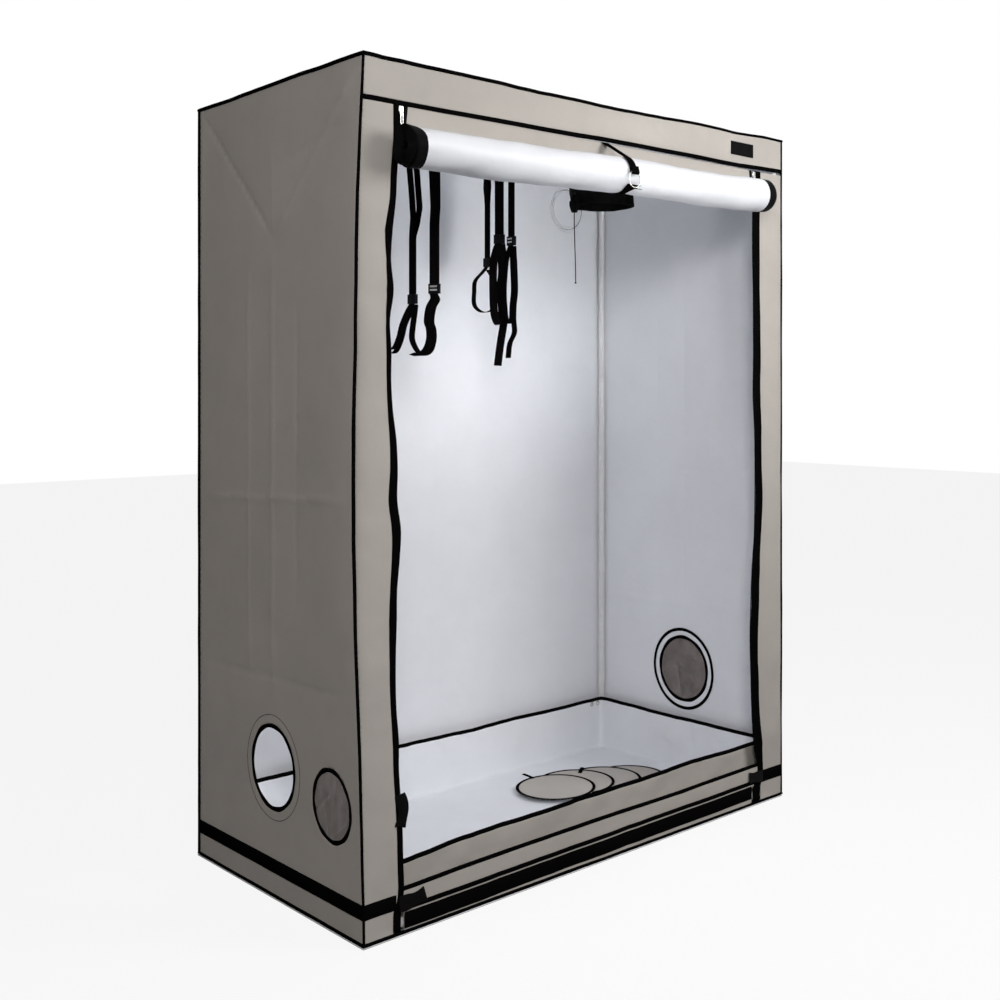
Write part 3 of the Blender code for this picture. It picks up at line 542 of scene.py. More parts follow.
def apply_modifier(piece: Piece, kind: str, **settings: object) -> None:
    """Add a modifier with the given settings and apply it.

    Args:
        piece: The object.
        kind: The modifier's type.
        **settings: The modifier's properties.
    """
    only(piece)
    modifier = piece.modifiers.new(kind.lower(), kind)
    for key, value in settings.items():
        setattr(modifier, key, value)
    bpy.ops.object.modifier_apply(modifier=modifier.name)


def rework(piece: Piece, change: Callable[[bmesh.types.BMesh], object]) -> None:
    """Change a piece's mesh outside edit mode.

    Args:
        piece: The object.
        change: Changes the mesh that it is given.
    """
    work = bmesh.new()
    work.from_mesh(piece.data)
    change(work)
    work.to_mesh(piece.data)
    work.free()


def shade(piece: Piece, degrees: float) -> None:
    """Shade a piece smooth, but for edges sharper than an angle."""
    only(piece)
    bpy.ops.object.shade_smooth_by_angle(angle=math.radians(degrees))


def coords(*parts: np.ndarray | float) -> np.ndarray:
    """Rows of coordinates, where a single number counts for every row."""
    return np.column_stack(np.broadcast_arrays(*parts))


def unit(vectors: np.ndarray) -> np.ndarray:
    """Vectors brought to length 1, one row each."""
    return vectors / np.maximum(np.linalg.norm(vectors, axis=-1, keepdims=True), 1e-12)


def ease(share: np.ndarray) -> np.ndarray:
    """A soft step: 0 below 0, 1 above 1."""
    share = np.clip(share, 0, 1)
    return share * share * (3 - 2 * share)


def between(places: np.ndarray, known: Sequence[Flat]) -> np.ndarray:
    """Values between known pairs of a place and a value."""
    pairs = np.array(sorted(known))
    return np.interp(places, pairs[:, 0], pairs[:, 1])


def travel(points: np.ndarray, closed: bool = False) -> np.ndarray:
    """Distances along a line of points."""
    line = np.vstack([points, points[:1]]) if closed else points
    return np.concatenate([[0.0], np.cumsum(np.linalg.norm(np.diff(line, axis=0), axis=1))])


def at_places(line: np.ndarray, gone: np.ndarray, places: np.ndarray) -> np.ndarray:
    """Points of a line at given distances along it."""
    return np.column_stack([np.interp(places, gone, line[:, axis]) for axis in range(line.shape[1])])


def evenly(points: np.ndarray, step: float) -> np.ndarray:
    """A line's points about a step apart, with both ends kept."""
    gone = travel(points)
    return at_places(points, gone, np.linspace(0, gone[-1], max(2, int(round(gone[-1] / step)) + 1)))


def smooth_line(points: Sequence[Sequence[float]], step: float) -> np.ndarray:
    """A smooth curve through the given points, at an even spacing.

    Args:
        points: The points that the curve goes through.
        step: The spacing.

    Returns:
        The curve's points.
    """
    known = np.asarray(points, float)
    ends = np.vstack([2 * known[0] - known[1], known, 2 * known[-1] - known[-2]])
    dense = []
    share = np.linspace(0, 1, 24, endpoint=False)[:, None]
    for number in range(1, len(ends) - 2):
        a, b, c, d = ends[number - 1:number + 3]
        dense.append(0.5 * (2 * b + (c - a) * share + (2 * a - 5 * b + 4 * c - d) * share ** 2
                            + (3 * b - a - 3 * c + d) * share ** 3))
    return evenly(np.vstack([*dense, known[-1:]]), step)


def turns_of(count: int) -> np.ndarray:
    """Even turns of a full circle, in radians."""
    return np.arange(count) * 2 * math.pi / count


def round_section(radius: float, sides: int) -> np.ndarray:
    """A round section of a sweep."""
    return radius * coords(np.cos(turns_of(sides)), np.sin(turns_of(sides)))


def tape_section(width: float, thick: float, edge: float = 0.5) -> np.ndarray:
    """A flat section, turning left.

    Args:
        width: Its width.
        thick: Its thickness.
        edge: The share of the thickness over which its edges are softened.

    Returns:
        The section's corners.
    """
    half, deep, soft = width / 2, thick / 2, thick * edge
    return np.array([(half, -deep * 0.4), (half, deep * 0.4), (half - soft, deep), (0.0, deep * 1.05),
                     (-half + soft, deep), (-half, deep * 0.4), (-half, -deep * 0.4), (-half + soft, -deep),
                     (0.0, -deep * 1.05), (half - soft, -deep)])


def sweep(shape: Shape, path: np.ndarray, up: np.ndarray | Sequence[float], section: np.ndarray,
          closed: bool = False, slot: int = 0, sizes: np.ndarray | float = 1.0) -> None:
    """Draw a section along a path and add the closed solid to a shape.

    Args:
        shape: The shape that it is added to.
        path: The path's points.
        up: The section's second way, one vector or one for each point.
        section: The section's points: how far to the side and how far up.
        closed: Whether the path is a loop.
        slot: The material slot.
        sizes: The section's scale, one or one for each point.
    """
    path = np.asarray(path, float)
    if closed:
        ahead, behind = np.roll(path, -1, 0) - path, path - np.roll(path, 1, 0)
    else:
        step = np.diff(path, axis=0)
        ahead, behind = np.vstack([step, step[-1:]]), np.vstack([step[:1], step])
    ahead, behind = unit(ahead), unit(behind)
    tangent = unit(ahead + behind)
    side = unit(np.cross(tangent, np.broadcast_to(np.asarray(up, float), path.shape)))
    top = unit(np.cross(side, tangent))
    wide = 1.0 / np.maximum(np.einsum("ij,ij->i", tangent, ahead), 0.5)
    scale = np.broadcast_to(np.asarray(sizes, float), len(path))
    points = (path[:, None, :] + side[:, None, :] * (section[None, :, :1] * (wide * scale)[:, None, None])
              + top[:, None, :] * (section[None, :, 1:] * scale[:, None, None]))
    along = travel(path, closed)
    shape.grid(points, travel(section, closed=True), along, ring=True, loop=closed, slot=slot)
    if not closed:
        shape.caps(section[:, 0], (along[0], along[-1]), slot)


def stitch(length: float, wide: float) -> tuple[np.ndarray, Faces]:
    """A stitch: a short rounded bar that lies along X and rises along Z.

    Args:
        length: Its length.
        wide: Its width.

    Returns:
        Its points and faces.
    """
    points = np.array([(-1, 0, -0.6), (-0.6, -1, 0), (-0.6, 0, 1), (-0.6, 1, 0), (0.6, -1, 0), (0.6, 0, 1),
                       (0.6, 1, 0), (1, 0, -0.6)]) * (length / 2, wide / 2, wide / 2)
    return points, [(0, 1, 2), (0, 2, 3), (0, 3, 1), (7, 5, 4), (7, 6, 5), (7, 4, 6), (1, 4, 5, 2), (2, 5, 6, 3),
                    (3, 6, 4, 1)]


def tooth(coil: float) -> tuple[np.ndarray, Faces]:
    """Points and faces of one turn of a zip's coil: a short bar across the line.

    Args:
        coil: The coil's radius.

    Returns:
        Its points and faces.
    """
    around = np.arange(6) * math.pi / 3
    points = [coords(end * coil * 0.30, coil * 0.98 * np.cos(around), coil * 0.98 * np.sin(around))
              for end in (-1, 1)]
    faces = [tuple(range(5, -1, -1)), tuple(range(6, 12))]
    faces += [(number, (number + 1) % 6, 6 + (number + 1) % 6, 6 + number) for number in range(6)]
    return np.vstack(points), faces


def copies(shape: Shape, solid: tuple[np.ndarray, Faces], path: np.ndarray, up: Sequence[float],
           pitch: float = STITCH_PITCH, slot: int = 1, closed: bool = False) -> None:
    """Copy a little solid along a line, its X along the line and its Z up.

    Args:
        shape: The shape that the copies are added to.
        solid: The solid's points and faces.
        path: The line's points.
        up: The way that Z points.
        pitch: The distance between copies.
        slot: The material slot.
        closed: Whether the line is a loop.
    """
    points, faces = solid
    flat = [[(float(points[corner, 0]), float(points[corner, 1])) for corner in face] for face in faces]
    line = np.vstack([path, path[:1]]) if closed else path
    gone = travel(line)
    places = np.arange(pitch / 2, gone[-1], pitch)
    before, spots, beyond = (at_places(line, gone, places + shift) for shift in (-0.0005, 0.0, 0.0005))
    for spot, front in zip(spots, unit(beyond - before)):
        side = unit(np.cross(np.asarray(up, float), front))
        shape.add(points @ np.array([front, side, np.cross(front, side)]) + spot, faces, flat, slot)


# Planes and relief


class Plane(Enum):
    """A plane of the cover: its origin axis, its two ways in it and the way outwards."""

    LEFT = (0, (1, 2), -1.0)
    RIGHT = (0, (1, 2), 1.0)
    FRONT = (1, (0, 2), -1.0)
    BACK = (1, (0, 2), 1.0)
    TOP = (2, (0, 1), 1.0)
    FLOOR = (2, (0, 1), -1.0)

    def lift(self, flat: np.ndarray, level: np.ndarray | float) -> np.ndarray:
        """Points in space of flat points at a level along the plane's own axis."""
        return np.insert(np.asarray(flat, float), self.value[0], level, axis=1)

    @property
    def out(self) -> np.ndarray:
        """The way outwards."""
        return np.eye(3)[self.value[0]] * self.value[2]

    @property
    def flips(self) -> bool:
        """Whether faces that turn left in the plane point inwards."""
        return (self.value[2] < 0) != (self.value[0] == 1)


def ripples(seed: int, height: float, longest: float, shortest: float, count: int = 24,
            steep: float = 0.0) -> Relief:
    """Soft waves in many directions.

    Args:
        seed: The seed of the waves' directions and phases.
        height: About how high they rise and fall.
        longest: The longest wave's length.
        shortest: The shortest wave's length.
        count: How many waves are added up.
        steep: The share by which they run up and down rather than every way.

    Returns:
        A function from flat points to heights.
    """
    draw = np.random.default_rng(seed)
    turns = draw.uniform(0, math.pi, count) * (1 - steep)
    lengths = np.geomspace(longest, shortest, count)
    phases = draw.uniform(0, 2 * math.pi, count)
    rises = (lengths / longest) ** 1.1

    def heights(flat: np.ndarray) -> np.ndarray:
        """The waves' height.

        Args:
            flat: The flat points.

        Returns:
            The height at each.
        """
        sums = np.zeros(len(flat))
        for turn, length, phase, rise in zip(turns, lengths, phases, rises):
            way = flat[:, 0] * math.cos(turn) + flat[:, 1] * math.sin(turn)
            sums += rise * np.sin(2 * math.pi * way / length + phase)
        return height * sums / math.sqrt(float((rises ** 2).sum()) / 2) / 2

    return heights


def crease(a: Flat, b: Flat, height: float, width: float) -> Relief:
    """A soft ridge between two points, or a valley where the height is less than nothing.

    Args:
        a: Where it starts.
        b: Where it ends.
        height: How high it stands.
        width: How wide it is on each side.

    Returns:
        A function from flat points to heights.
    """
    start = np.asarray(a, float)
    way = np.asarray(b, float) - start
    length = float(np.linalg.norm(way))
    way = way / length

    def heights(flat: np.ndarray) -> np.ndarray:
        """The ridge's height.

        Args:
            flat: The flat points.

        Returns:
            The height at each.
        """
        gone = (flat - start) @ way
        off = np.abs((flat - start) @ np.array([-way[1], way[0]]))
        ends = np.clip(np.minimum(gone, length - gone) / (0.15 * length), 0, 1)
        return height * ends * np.exp(-off / width)

    return heights


def total(*reliefs: Relief) -> Relief:
    """The sum of several reliefs."""
    return lambda flat: sum(relief(flat) for relief in reliefs)


def inside(flat: np.ndarray, loop: np.ndarray) -> np.ndarray:
    """Whether flat points lie inside a loop.

    Args:
        flat: The points.
        loop: The loop's corners.

    Returns:
        True or False for each point.
    """
    result = np.zeros(len(flat), bool)
    for (ax, ay), (bx, by) in zip(loop, np.roll(loop, -1, 0)):
        if ay != by:
            crosses = (ay > flat[:, 1]) != (by > flat[:, 1])
            result ^= crosses & (flat[:, 0] < (bx - ax) * (flat[:, 1] - ay) / (by - ay) + ax)
    return result


def edge_distance(flat: np.ndarray, loops: Iterable[np.ndarray]) -> np.ndarray:
    """How far flat points are from the nearest of several loops.

    Args:
        flat: The points.
        loops: The loops.

    Returns:
        The distances.
    """
    nearest = np.full(len(flat), np.inf)
    for loop in loops:
        for a, b in zip(loop, np.roll(loop, -1, 0)):
            way = b - a
            share = np.clip((flat - a) @ way / max(float(way @ way), 1e-12), 0, 1)
            nearest = np.minimum(nearest, np.linalg.norm(flat - a - share[:, None] * way, axis=1))
    return nearest


def subdivided(loop: np.ndarray, step: float) -> np.ndarray:
    """A loop with points added so that none are further apart than a step.

    Args:
        loop: The loop's corners.
        step: The greatest distance.

    Returns:
        The new loop.
    """
    parts = []
    for a, b in zip(loop, np.roll(loop, -1, 0)):
        count = max(1, int(math.ceil(float(np.linalg.norm(b - a)) / step)))
        parts.append(a + (b - a) * (np.arange(count) / count)[:, None])
    return np.vstack(parts)


def rectangle(low: Flat, high: Flat) -> np.ndarray:
    """A rectangle's corners, turning left."""
    return np.array([low, (high[0], low[1]), high, (low[0], high[1])], float)


def flat_circle(centre: Flat, radius: float | np.ndarray, count: int = 72) -> np.ndarray:
    """A circle's points in a plane, turning left, with one radius or one for each point."""
    turns = turns_of(count)
    return coords(centre[0] + radius * np.cos(turns), centre[1] + radius * np.sin(turns))


@dataclass
class Panel:
    """A cut piece of cloth in one plane of the cover, with holes in it and relief on it."""

    name: str
    plane: Plane
    level: float
    outline: np.ndarray
    holes: Sequence[np.ndarray] = ()
    relief: Relief | None = None
    pitch: float = 0.010
    fade: float = 0.05
    thick: float = 0.0015
    folds: Sequence[tuple[Flat, Flat]] = ()

    @property
    def size(self) -> Flat:
        """Its size, flat."""
        return tuple(float(part) for part in self.outline.max(0) - self.outline.min(0))

    def on(self, flat: np.ndarray, lift: float = 0.0) -> np.ndarray:
        """Points on the panel.

        Args:
            flat: Points in its plane.
            lift: How far outside its middle they lie.

        Returns:
            The points in space.
        """
        rise = np.full(len(flat), lift)
        if self.relief is not None:
            rise += self.relief(flat) * ease(edge_distance(flat, [self.outline, *self.holes]) / self.fade)
        return self.plane.lift(flat, self.level + self.plane.value[2] * rise)

    def flat_mesh(self) -> tuple[np.ndarray, Faces]:
        """Fill the outline around the holes.

        Returns:
            Points and triangles.
        """
        loops = [subdivided(loop, self.pitch) for loop in (self.outline, *self.holes)]
        low, high = self.outline.min(0), self.outline.max(0)

        def kept(spots: np.ndarray) -> np.ndarray:
            """Whether points are in the outline and in no hole."""
            return inside(spots, loops[0]) & ~np.any([inside(spots, hole) for hole in loops[1:]] or [False], axis=0)

        rows = [coords(np.arange(low[0] + self.pitch * (0.25 + 0.5 * (number % 2)), high[0], self.pitch), row)
                for number, row in enumerate(np.arange(low[1] + self.pitch / 2, high[1], self.pitch * 0.87))]
        inner = np.vstack(rows)
        lines = [np.array(fold) for fold in self.folds]
        inner = inner[kept(inner) & (edge_distance(inner, [*loops, *lines]) > self.pitch * 0.45)]
        edges, start = [], 0
        for loop in loops:
            edges += [(start + number, start + (number + 1) % len(loop)) for number in range(len(loop))]
            start += len(loop)
        lines = [evenly(line, self.pitch) for line in lines]
        for line in lines:
            edges += [(start + number, start + number + 1) for number in range(len(line) - 1)]
            start += len(line)
        known = [Vector(spot) for spot in np.vstack([*loops, *lines, inner])]
        made = delaunay_2d_cdt(known, edges, [], 0, 1e-7, False)
        points = np.array([tuple(spot) for spot in made[0]])
        faces = np.array([tuple(face) for face in made[2] if len(face) == 3])
        return points, [tuple(face) for face in faces[kept(points[faces].mean(axis=1))]]

    def build(self, finishes: Sequence[Finish], turn: float = 0.0) -> Piece:
        """Make the panel's object.

        Args:
            finishes: The outer and the inner finish.
            turn: How far the threads are turned in the plane, in degrees.

        Returns:
            The object.
        """
        flat, faces = self.flat_mesh()
        if self.plane.flips:
            faces = [face[::-1] for face in faces]
        cos, sin = math.cos(math.radians(turn)), math.sin(math.radians(turn))
        threads = coords(flat[:, 0] * cos - flat[:, 1] * sin, flat[:, 0] * sin + flat[:, 1] * cos)
        shape = Shape()
        shape.add(self.on(flat), faces, [[tuple(threads[corner]) for corner in face] for face in faces])
        piece = shape.build(self.name, finishes)
        apply_modifier(piece, "SOLIDIFY", thickness=self.thick, offset=0.0, use_even_offset=False,
                       material_offset=len(finishes) - 1, material_offset_rim=0)
        return piece


def dress(piece: Piece, body: str, slot: str, *nodes: str) -> Piece:
    """Say what a piece rides on and which nodes it stands for.

    Args:
        piece: The object.
        body: The body that it moves with.
        slot: The record's material slot; not used.
        *nodes: The nodes that it replaces.

    Returns:
        The same object.
    """
    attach(piece, body)
    if nodes:
        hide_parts(*nodes)
    log.info("%s: %d faces on %s", piece.name, len(piece.data.polygons), body)
    return piece


def black(shape: Shape, name: str, finishes: Sequence[Finish], *nodes: str, body: str = TENT) -> Piece:
    """Build a shape and dress it on its body."""
    return dress(shape.build(name, finishes), body, "black_webbing", *nodes)


def declare(panel: Panel, node: str, turn: float = 1.5) -> None:
    """Make one panel of the cover, beige outside and white inside, and attach it to the tent.

    Args:
        panel: The panel.
        node: The node that it replaces.
        turn: How far its threads are turned, in degrees.
    """
    piece = dress(panel.build((BEIGE, FILM), turn), TENT, "grey_cloth", node)


# Cover


CORNER_BOW = ((0, 0), (0.089, 0.0007), (0.178, 0.0036), (0.267, 0.0056), (0.357, 0.0085), (0.446, 0.0107),
              (0.535, 0.014), (0.624, 0.017), (0.714, 0.0198), (0.803, 0.0214), (0.892, 0.0239), (0.98, 0.0245),
              (1.07, 0.0245), (1.16, 0.0248), (1.249, 0.0223), (1.338, 0.0192), (1.427, 0.0187), (1.517, 0.0181),
              (1.606, 0.0174), (1.695, 0.0152), (1.784, 0.0109), (1.874, 0.0069), (1.95, 0.003), (2, 0.001))
FRONT_LIFT = ((-0.733, 0.0055), (-0.652, 0.008), (-0.568, 0.0067), (-0.481, 0.0068), (-0.359, 0.0067),
              (-0.23, 0.0033), (-0.092, 0.005), (-0.021, 0.0038), (0.091, 0.0048), (0.209, 0.0071),
              (0.374, 0.0117), (0.552, 0.0092), (0.669, 0.0147), (0.732, 0.0139))
LEFT_LIFT = ((0.3, 0.0016), (0.114, 0.004), (-0.035, 0.0068), (-0.129, 0.0078), (-0.304, 0.0082), (-0.366, 0.0087))
BAND_LIFT = ((-0.568, -0.0033), (-0.481, -0.0023), (-0.359, -0.0011), (-0.23, -0.0018), (-0.092, 0.0005),
             (-0.021, 0.002), (0.035, 0.003), (0.209, 0.002), (0.374, 0.0028), (0.552, 0.0013), (0.669, 0.0045),
             (0.732, 0.006))
FOLLOWERS = ("wall_left_cloth", "wall_right_cloth", "wall_back_cloth", "flank_left_cloth", "flank_right_cloth",
             "roof_cloth", "header_cloth", "edge_piping_cord", "base_band_webbing", "duct_port_binding",
             "vent_left_net", "vent_left_rim", "hook_ring_left_tape")


def settle(piece: Piece) -> None:
    """Let a piece of the cover follow its bowed front corners and its raised roof edge.

    Args:
        piece: The object.
    """
    flat = np.empty(len(piece.data.vertices) * 3)
    piece.data.vertices.foreach_get("co", flat)
    spots = flat.reshape(-1, 3)
    x, y, z = spots.T.copy()
    bow = between(z, CORNER_BOW) * (x < -0.5)
    across, back = np.clip((x + WALL_X) / 0.062, 0, 1), np.clip(y + WALL_Y, 0, 1)
    spots[:, 0] -= 0.75 * bow * (1 - across) ** 1.5 * np.exp(-(back / 0.20) ** 2)
    spots[:, 1] += 0.66 * bow * (1 - across) ** 4 * np.exp(-(back / 0.15) ** 2)
    spots[:, 0] += 0.0065 * np.exp(-((x - WALL_X) / 0.05) ** 2 - (back / 0.05) ** 2) * (x > 0.5)
    ahead = between(x, FRONT_LIFT) * np.exp(-(back / 0.10) ** 2)
    beside = between(y, LEFT_LIFT) * np.exp(-((x + WALL_X) / 0.10) ** 2)
    spots[:, 2] += np.maximum(ahead, beside) * ease((z - 1.93) / 0.05)
    piece.data.vertices.foreach_set("co", spots.ravel())
    piece.data.update()


class CoverCloth:
    """The cover's panels: walls, roof, header and floor."""

    port: Flat = (0.005, 0.320)
    right_port: Flat = (0.005, 0.326)
    port_radius: float = 0.1025
    vent: Flat = (-0.270, 0.290)
    vent_radius: float = 0.0835
    back_port: Flat = (0.580, 1.860)
    back_port_radius: float = 0.0705
    sleeve: Flat = (0.450, 0.090)
    sleeve_radius: float = 0.0995
    header_low: float = 1.912
    fold: Flat = (0.006, 1.622)
    seam_x: float = 0.020

    def __init__(self) -> None:
        """Lay out the panels."""
        side = rectangle((-WALL_Y, BASE_Z), (WALL_Y, ROOF_Z))
        folds = self.side_folds()
        creases = [crease(a, b, height * rise, width)
                   for rise, width in ((1, 0.0045), (1.5, 0.06)) for a, b, height in folds]
        self.left = Panel("wall_left_cloth", Plane.LEFT, -WALL_X, side,
                          [flat_circle(self.port, self.port_radius), flat_circle(self.vent, self.vent_radius)],
                          total(ripples(11, 0.0013, 0.9, 0.06, steep=0.2), *creases),
                          folds=[fold[:2] for fold in folds])
        self.right = Panel("wall_right_cloth", Plane.RIGHT, WALL_X, side,
                           [flat_circle(self.right_port, self.port_radius)],
                           total(ripples(12, 0.0011, 0.9, 0.09, steep=0.2), *creases), pitch=0.012)
        self.rear = Panel("wall_back_cloth", Plane.BACK, WALL_Y, rectangle((-WALL_X, BASE_Z), (WALL_X, ROOF_Z)),
                          [flat_circle(self.back_port, self.back_port_radius)],
                          total(ripples(13, 0.0014, 0.8, 0.10, steep=0.2), *self.back_creases()), pitch=0.014)
        self.roof = Panel("roof_cloth", Plane.TOP, ROOF_Z, rectangle((-WALL_X, -WALL_Y), (WALL_X, WALL_Y)),
                          [flat_circle(self.sleeve, self.sleeve_radius)],
                          ripples(14, 0.0010, 0.6, 0.08), pitch=0.014)
        self.header = Panel("header_cloth", Plane.FRONT, -WALL_Y,
                            rectangle((-WALL_X, self.header_low), (WALL_X, ROOF_Z)),
                            relief=ripples(15, 0.0013, 0.30, 0.03), pitch=0.008, fade=0.02)
        self.floor = Panel("floor_sheet_cloth", Plane.FLOOR, CLOTH / 2, rectangle((-SIDE, -BACK), (SIDE, BACK)),
                           pitch=0.05)

    def side_folds(self) -> list[tuple[Flat, Flat, float]]:
        """The packing folds of a side wall: from where to where, and how high each stands."""
        y, z = self.fold
        front, back = -WALL_Y + 0.01, WALL_Y - 0.01
        return [((front, 1.985), (y, z), 0.0028), ((back, 1.985), (y, z), -0.0026),
                ((y, z + 0.005), (y - 0.002, 0.44), 0.0024), ((y - 0.115, 1.50), (y - 0.112, 0.70), -0.0015),
                ((y + 0.118, 1.63), (y + 0.115, 0.42), 0.0017), ((y + 0.01, 1.86), (y, z + 0.01), 0.0010),
                ((front, 1.000), (back, 0.965), 0.0019), ((front, 0.55), (back, 0.53), -0.0013),
                ((front + 0.04, 1.86), (y - 0.01, 1.80), -0.0011), ((front + 0.01, 1.35), (y - 0.02, 1.13), 0.0013)]

    def back_creases(self) -> list[Relief]:
        """The packing folds of the back wall, and the ridge of its seam."""
        upright = [crease((x, 1.96), (x + lean, 0.05), height, 0.011)
                   for x, lean, height in ((-0.52, 0.01, -0.0008), (-0.26, -0.01, 0.0008), (0.29, 0.01, -0.0008),
                                           (0.51, 0.0, 0.0007))]
        level = [crease((-WALL_X, z), (WALL_X, z + 0.01), height, 0.012)
                 for z, height in ((1.48, 0.0008), (0.98, -0.0008), (0.52, 0.0008))]
        return [*upright, *level, crease((self.seam_x, 1.99), (self.seam_x, 0.01), -0.0016, 0.004)]

    def build(self) -> None:
        for panel, node in ((self.left, "wall_left"), (self.right, "wall_right"), (self.rear, "wall_back"),
                            (self.roof, "roof"), (self.header, "header")):
            declare(panel, node)
        declare(self.floor, "floor_sheet")


@dataclass
class EdgePiping:
    """The black piping round the cover's edges, and the band under the header."""

    radius: float = 0.0051
    sides: int = 12
    band_z: float = 1.910
    band_width: float = 0.0120
    band_thick: float = 0.004

    def corner_loop(self, z: float, lean: float, seed: int) -> np.ndarray:
        """The piping's line round the roof or the foot.

        Args:
            z: Its height.
            lean: How far it wanders.
            seed: The seed of its waves.

        Returns:
            The line's points.
        """
        corners = rectangle((-WALL_X, -WALL_Y), (WALL_X, WALL_Y))
        flat = subdivided(corners, 0.012)
        near = np.clip(edge_distance(flat, corners[:, None]) / 0.08, 0, 1)
        return coords(*flat.T, z + ripples(seed, lean, 0.25, 0.035, count=14)(flat) * near)

    def upright(self, way_x: int, way_y: int, lean: float) -> np.ndarray:
        """The piping's line up one corner.

        Args:
            way_x: Which side, -1 or 1.
            way_y: Front, -1, or back, 1.
            lean: How far it wanders.

        Returns:
            The line's points.
        """
        heights = np.linspace(BASE_Z, ROOF_Z, 100)
        fade = np.clip(np.minimum(heights - heights[0], heights[-1] - heights) / 0.10, 0, 1)
        seed = 23 + 5 * way_x + 2 * way_y
        stray = [ripples(seed + number, lean, 0.6, 0.07, count=10)(coords(heights, 0.0)) * fade for number in (0, 1)]
        return coords(way_x * WALL_X + stray[0], way_y * WALL_Y + stray[1], heights)

    def build(self) -> None:
        """Make the piping."""
        shape = Shape()
        cord = round_section(self.radius, self.sides)
        for z, lean, seed, size in ((ROOF_Z, 0.0008, 21, 1.03), (BASE_Z, 0.0004, 22, 0.88)):
            line = self.corner_loop(z, lean, seed)
            sweep(shape, line, UP, cord, closed=True, sizes=between(line[:, 0], ((-WALL_X, size), (WALL_X, 0.80))))
        for way_x, way_y, lean, size in ((-1, -1, 0.0007, 0.60), (1, -1, 0.0008, 0.72), (-1, 1, 0.0008, 1.0),
                                         (1, 1, 0.0008, 0.9)):
            sweep(shape, self.upright(way_x, way_y, lean), (0, 1, 0), cord, sizes=size)
        across = np.linspace(-WALL_X, WALL_X, 160)
        rise = ripples(27, 0.0005, 0.3, 0.04)(coords(across, 0.0)) + between(across, BAND_LIFT)
        sweep(shape, coords(across, -WALL_Y, self.band_z + rise), FORWARD,
              tape_section(self.band_width, self.band_thick))
        black(shape, "edge_piping_cord", (BINDING,), "edge_piping")


@dataclass
class BaseBand:
    """The webbing band sewn round the foot, from zip to zip behind the tent."""

    middle: float = 0.0795
    width: float = 0.035
    thick: float = 0.0014
    start: float = -0.660
    end: float = 0.630

    def build(self, cover: CoverCloth, flanks: Sequence[Panel]) -> None:
        """Make the band along the outside of the panels.

        Args:
            cover: The walls that it is sewn to.
            flanks: The left and the right flank.
        """
        shape = Shape()
        lift = CLOTH / 2 + self.thick / 2 + 0.0002
        runs = [(panel, np.linspace(first, last, max(4, int(abs(last - first) / 0.012)))) for panel, first, last in
                ((flanks[0], self.start, -WALL_X), (cover.left, -WALL_Y, WALL_Y), (cover.rear, -WALL_X, WALL_X),
                 (cover.right, WALL_Y, -WALL_Y), (flanks[1], WALL_X, self.end))]
        for panel, places in runs:
            sweep(shape, panel.on(coords(places, self.middle), lift), UP,
                  tape_section(self.width, self.thick)[:, ::-1] * (1, -1))
        for panel, places in runs:
            for edge in (-1, 1):
                line = panel.on(coords(places, self.middle + edge * (self.width / 2 - 0.003)), lift + self.thick / 2)
                copies(shape, stitch(*STITCH), line, panel.plane.out)
        black(shape, "base_band_webbing", (WEBBING, CORD), "base_band")


@dataclass
class ZipLine:
    """One zip of the door: its wavy line, its tape, its teeth and the flank that it is sewn to."""

    side: str
    way: int
    teeth_x: float
    line: tuple[Flat, ...]
    tape: tuple[Flat, ...]
    coil: float = 0.0016
    low: float = 0.0111
    flank: Panel = field(init=False)

    def __post_init__(self) -> None:
        """Lay out the flank."""
        heights = np.linspace(DOOR_TOP, BASE_Z, 90)
        seam = self.teeth(heights) + self.way * (between(heights, self.tape) - 0.005)
        outer = self.way * WALL_X
        self.flank = Panel(f"flank_{self.side}_cloth", Plane.FRONT, -WALL_Y,
                           np.vstack([coords(seam, heights), [(outer, BASE_Z), (outer, DOOR_TOP)]]),
                           relief=total(ripples(31 + self.way, 0.0021, 0.35, 0.035, steep=0.3),
                                        crease((outer, 1.35), (seam[40], 1.10), 0.0009, 0.008),
                                        crease((outer, 0.75), (seam[60], 0.60), 0.0008, 0.008)),
                           pitch=0.008, fade=0.018)

    def teeth(self, heights: np.ndarray) -> np.ndarray:
        """The teeth's X places at given heights."""
        known = smooth_line([(z, stray) for stray, z in sorted(self.line, key=lambda place: place[1])], 0.01)
        return self.teeth_x + np.interp(heights, known[:, 0], known[:, 1])

    def build(self) -> None:
        """Make the flank, the tape and the teeth."""
        declare(self.flank, f"flank_{self.side}", 1.0)
        heights = np.linspace(self.low, DOOR_TOP, 210)
        teeth, width = self.teeth(heights), between(heights, self.tape)
        shape = Shape()
        lie = self.flank.on(coords(teeth + self.way * width / 2, heights), 0.0010)
        sweep(shape, lie, FORWARD, tape_section(0.02, 0.0013), sizes=width / 0.02)
        for share in (0.30, 0.86):
            row = self.flank.on(coords(teeth + self.way * width * share, heights), 0.0018)
            copies(shape, stitch(0.0028, 0.0005), row, FORWARD)
        edge = coords(teeth, -WALL_Y, heights)
        sweep(shape, edge, FORWARD, round_section(self.coil * 0.62, 6), slot=1)
        copies(shape, tooth(self.coil), edge, FORWARD, 0.0024)
        tape = black(shape, f"zip_tape_{self.side}_webbing", (BINDING, CORD), f"zip_tape_{self.side}")


# Rigid pieces


def start_edit(piece: Piece) -> None:
    """Enter edit mode on one piece with nothing selected.

    Args:
        piece: The object.
    """
    only(piece)
    bpy.ops.object.mode_set(mode="EDIT")
    bpy.ops.mesh.select_all(action="DESELECT")


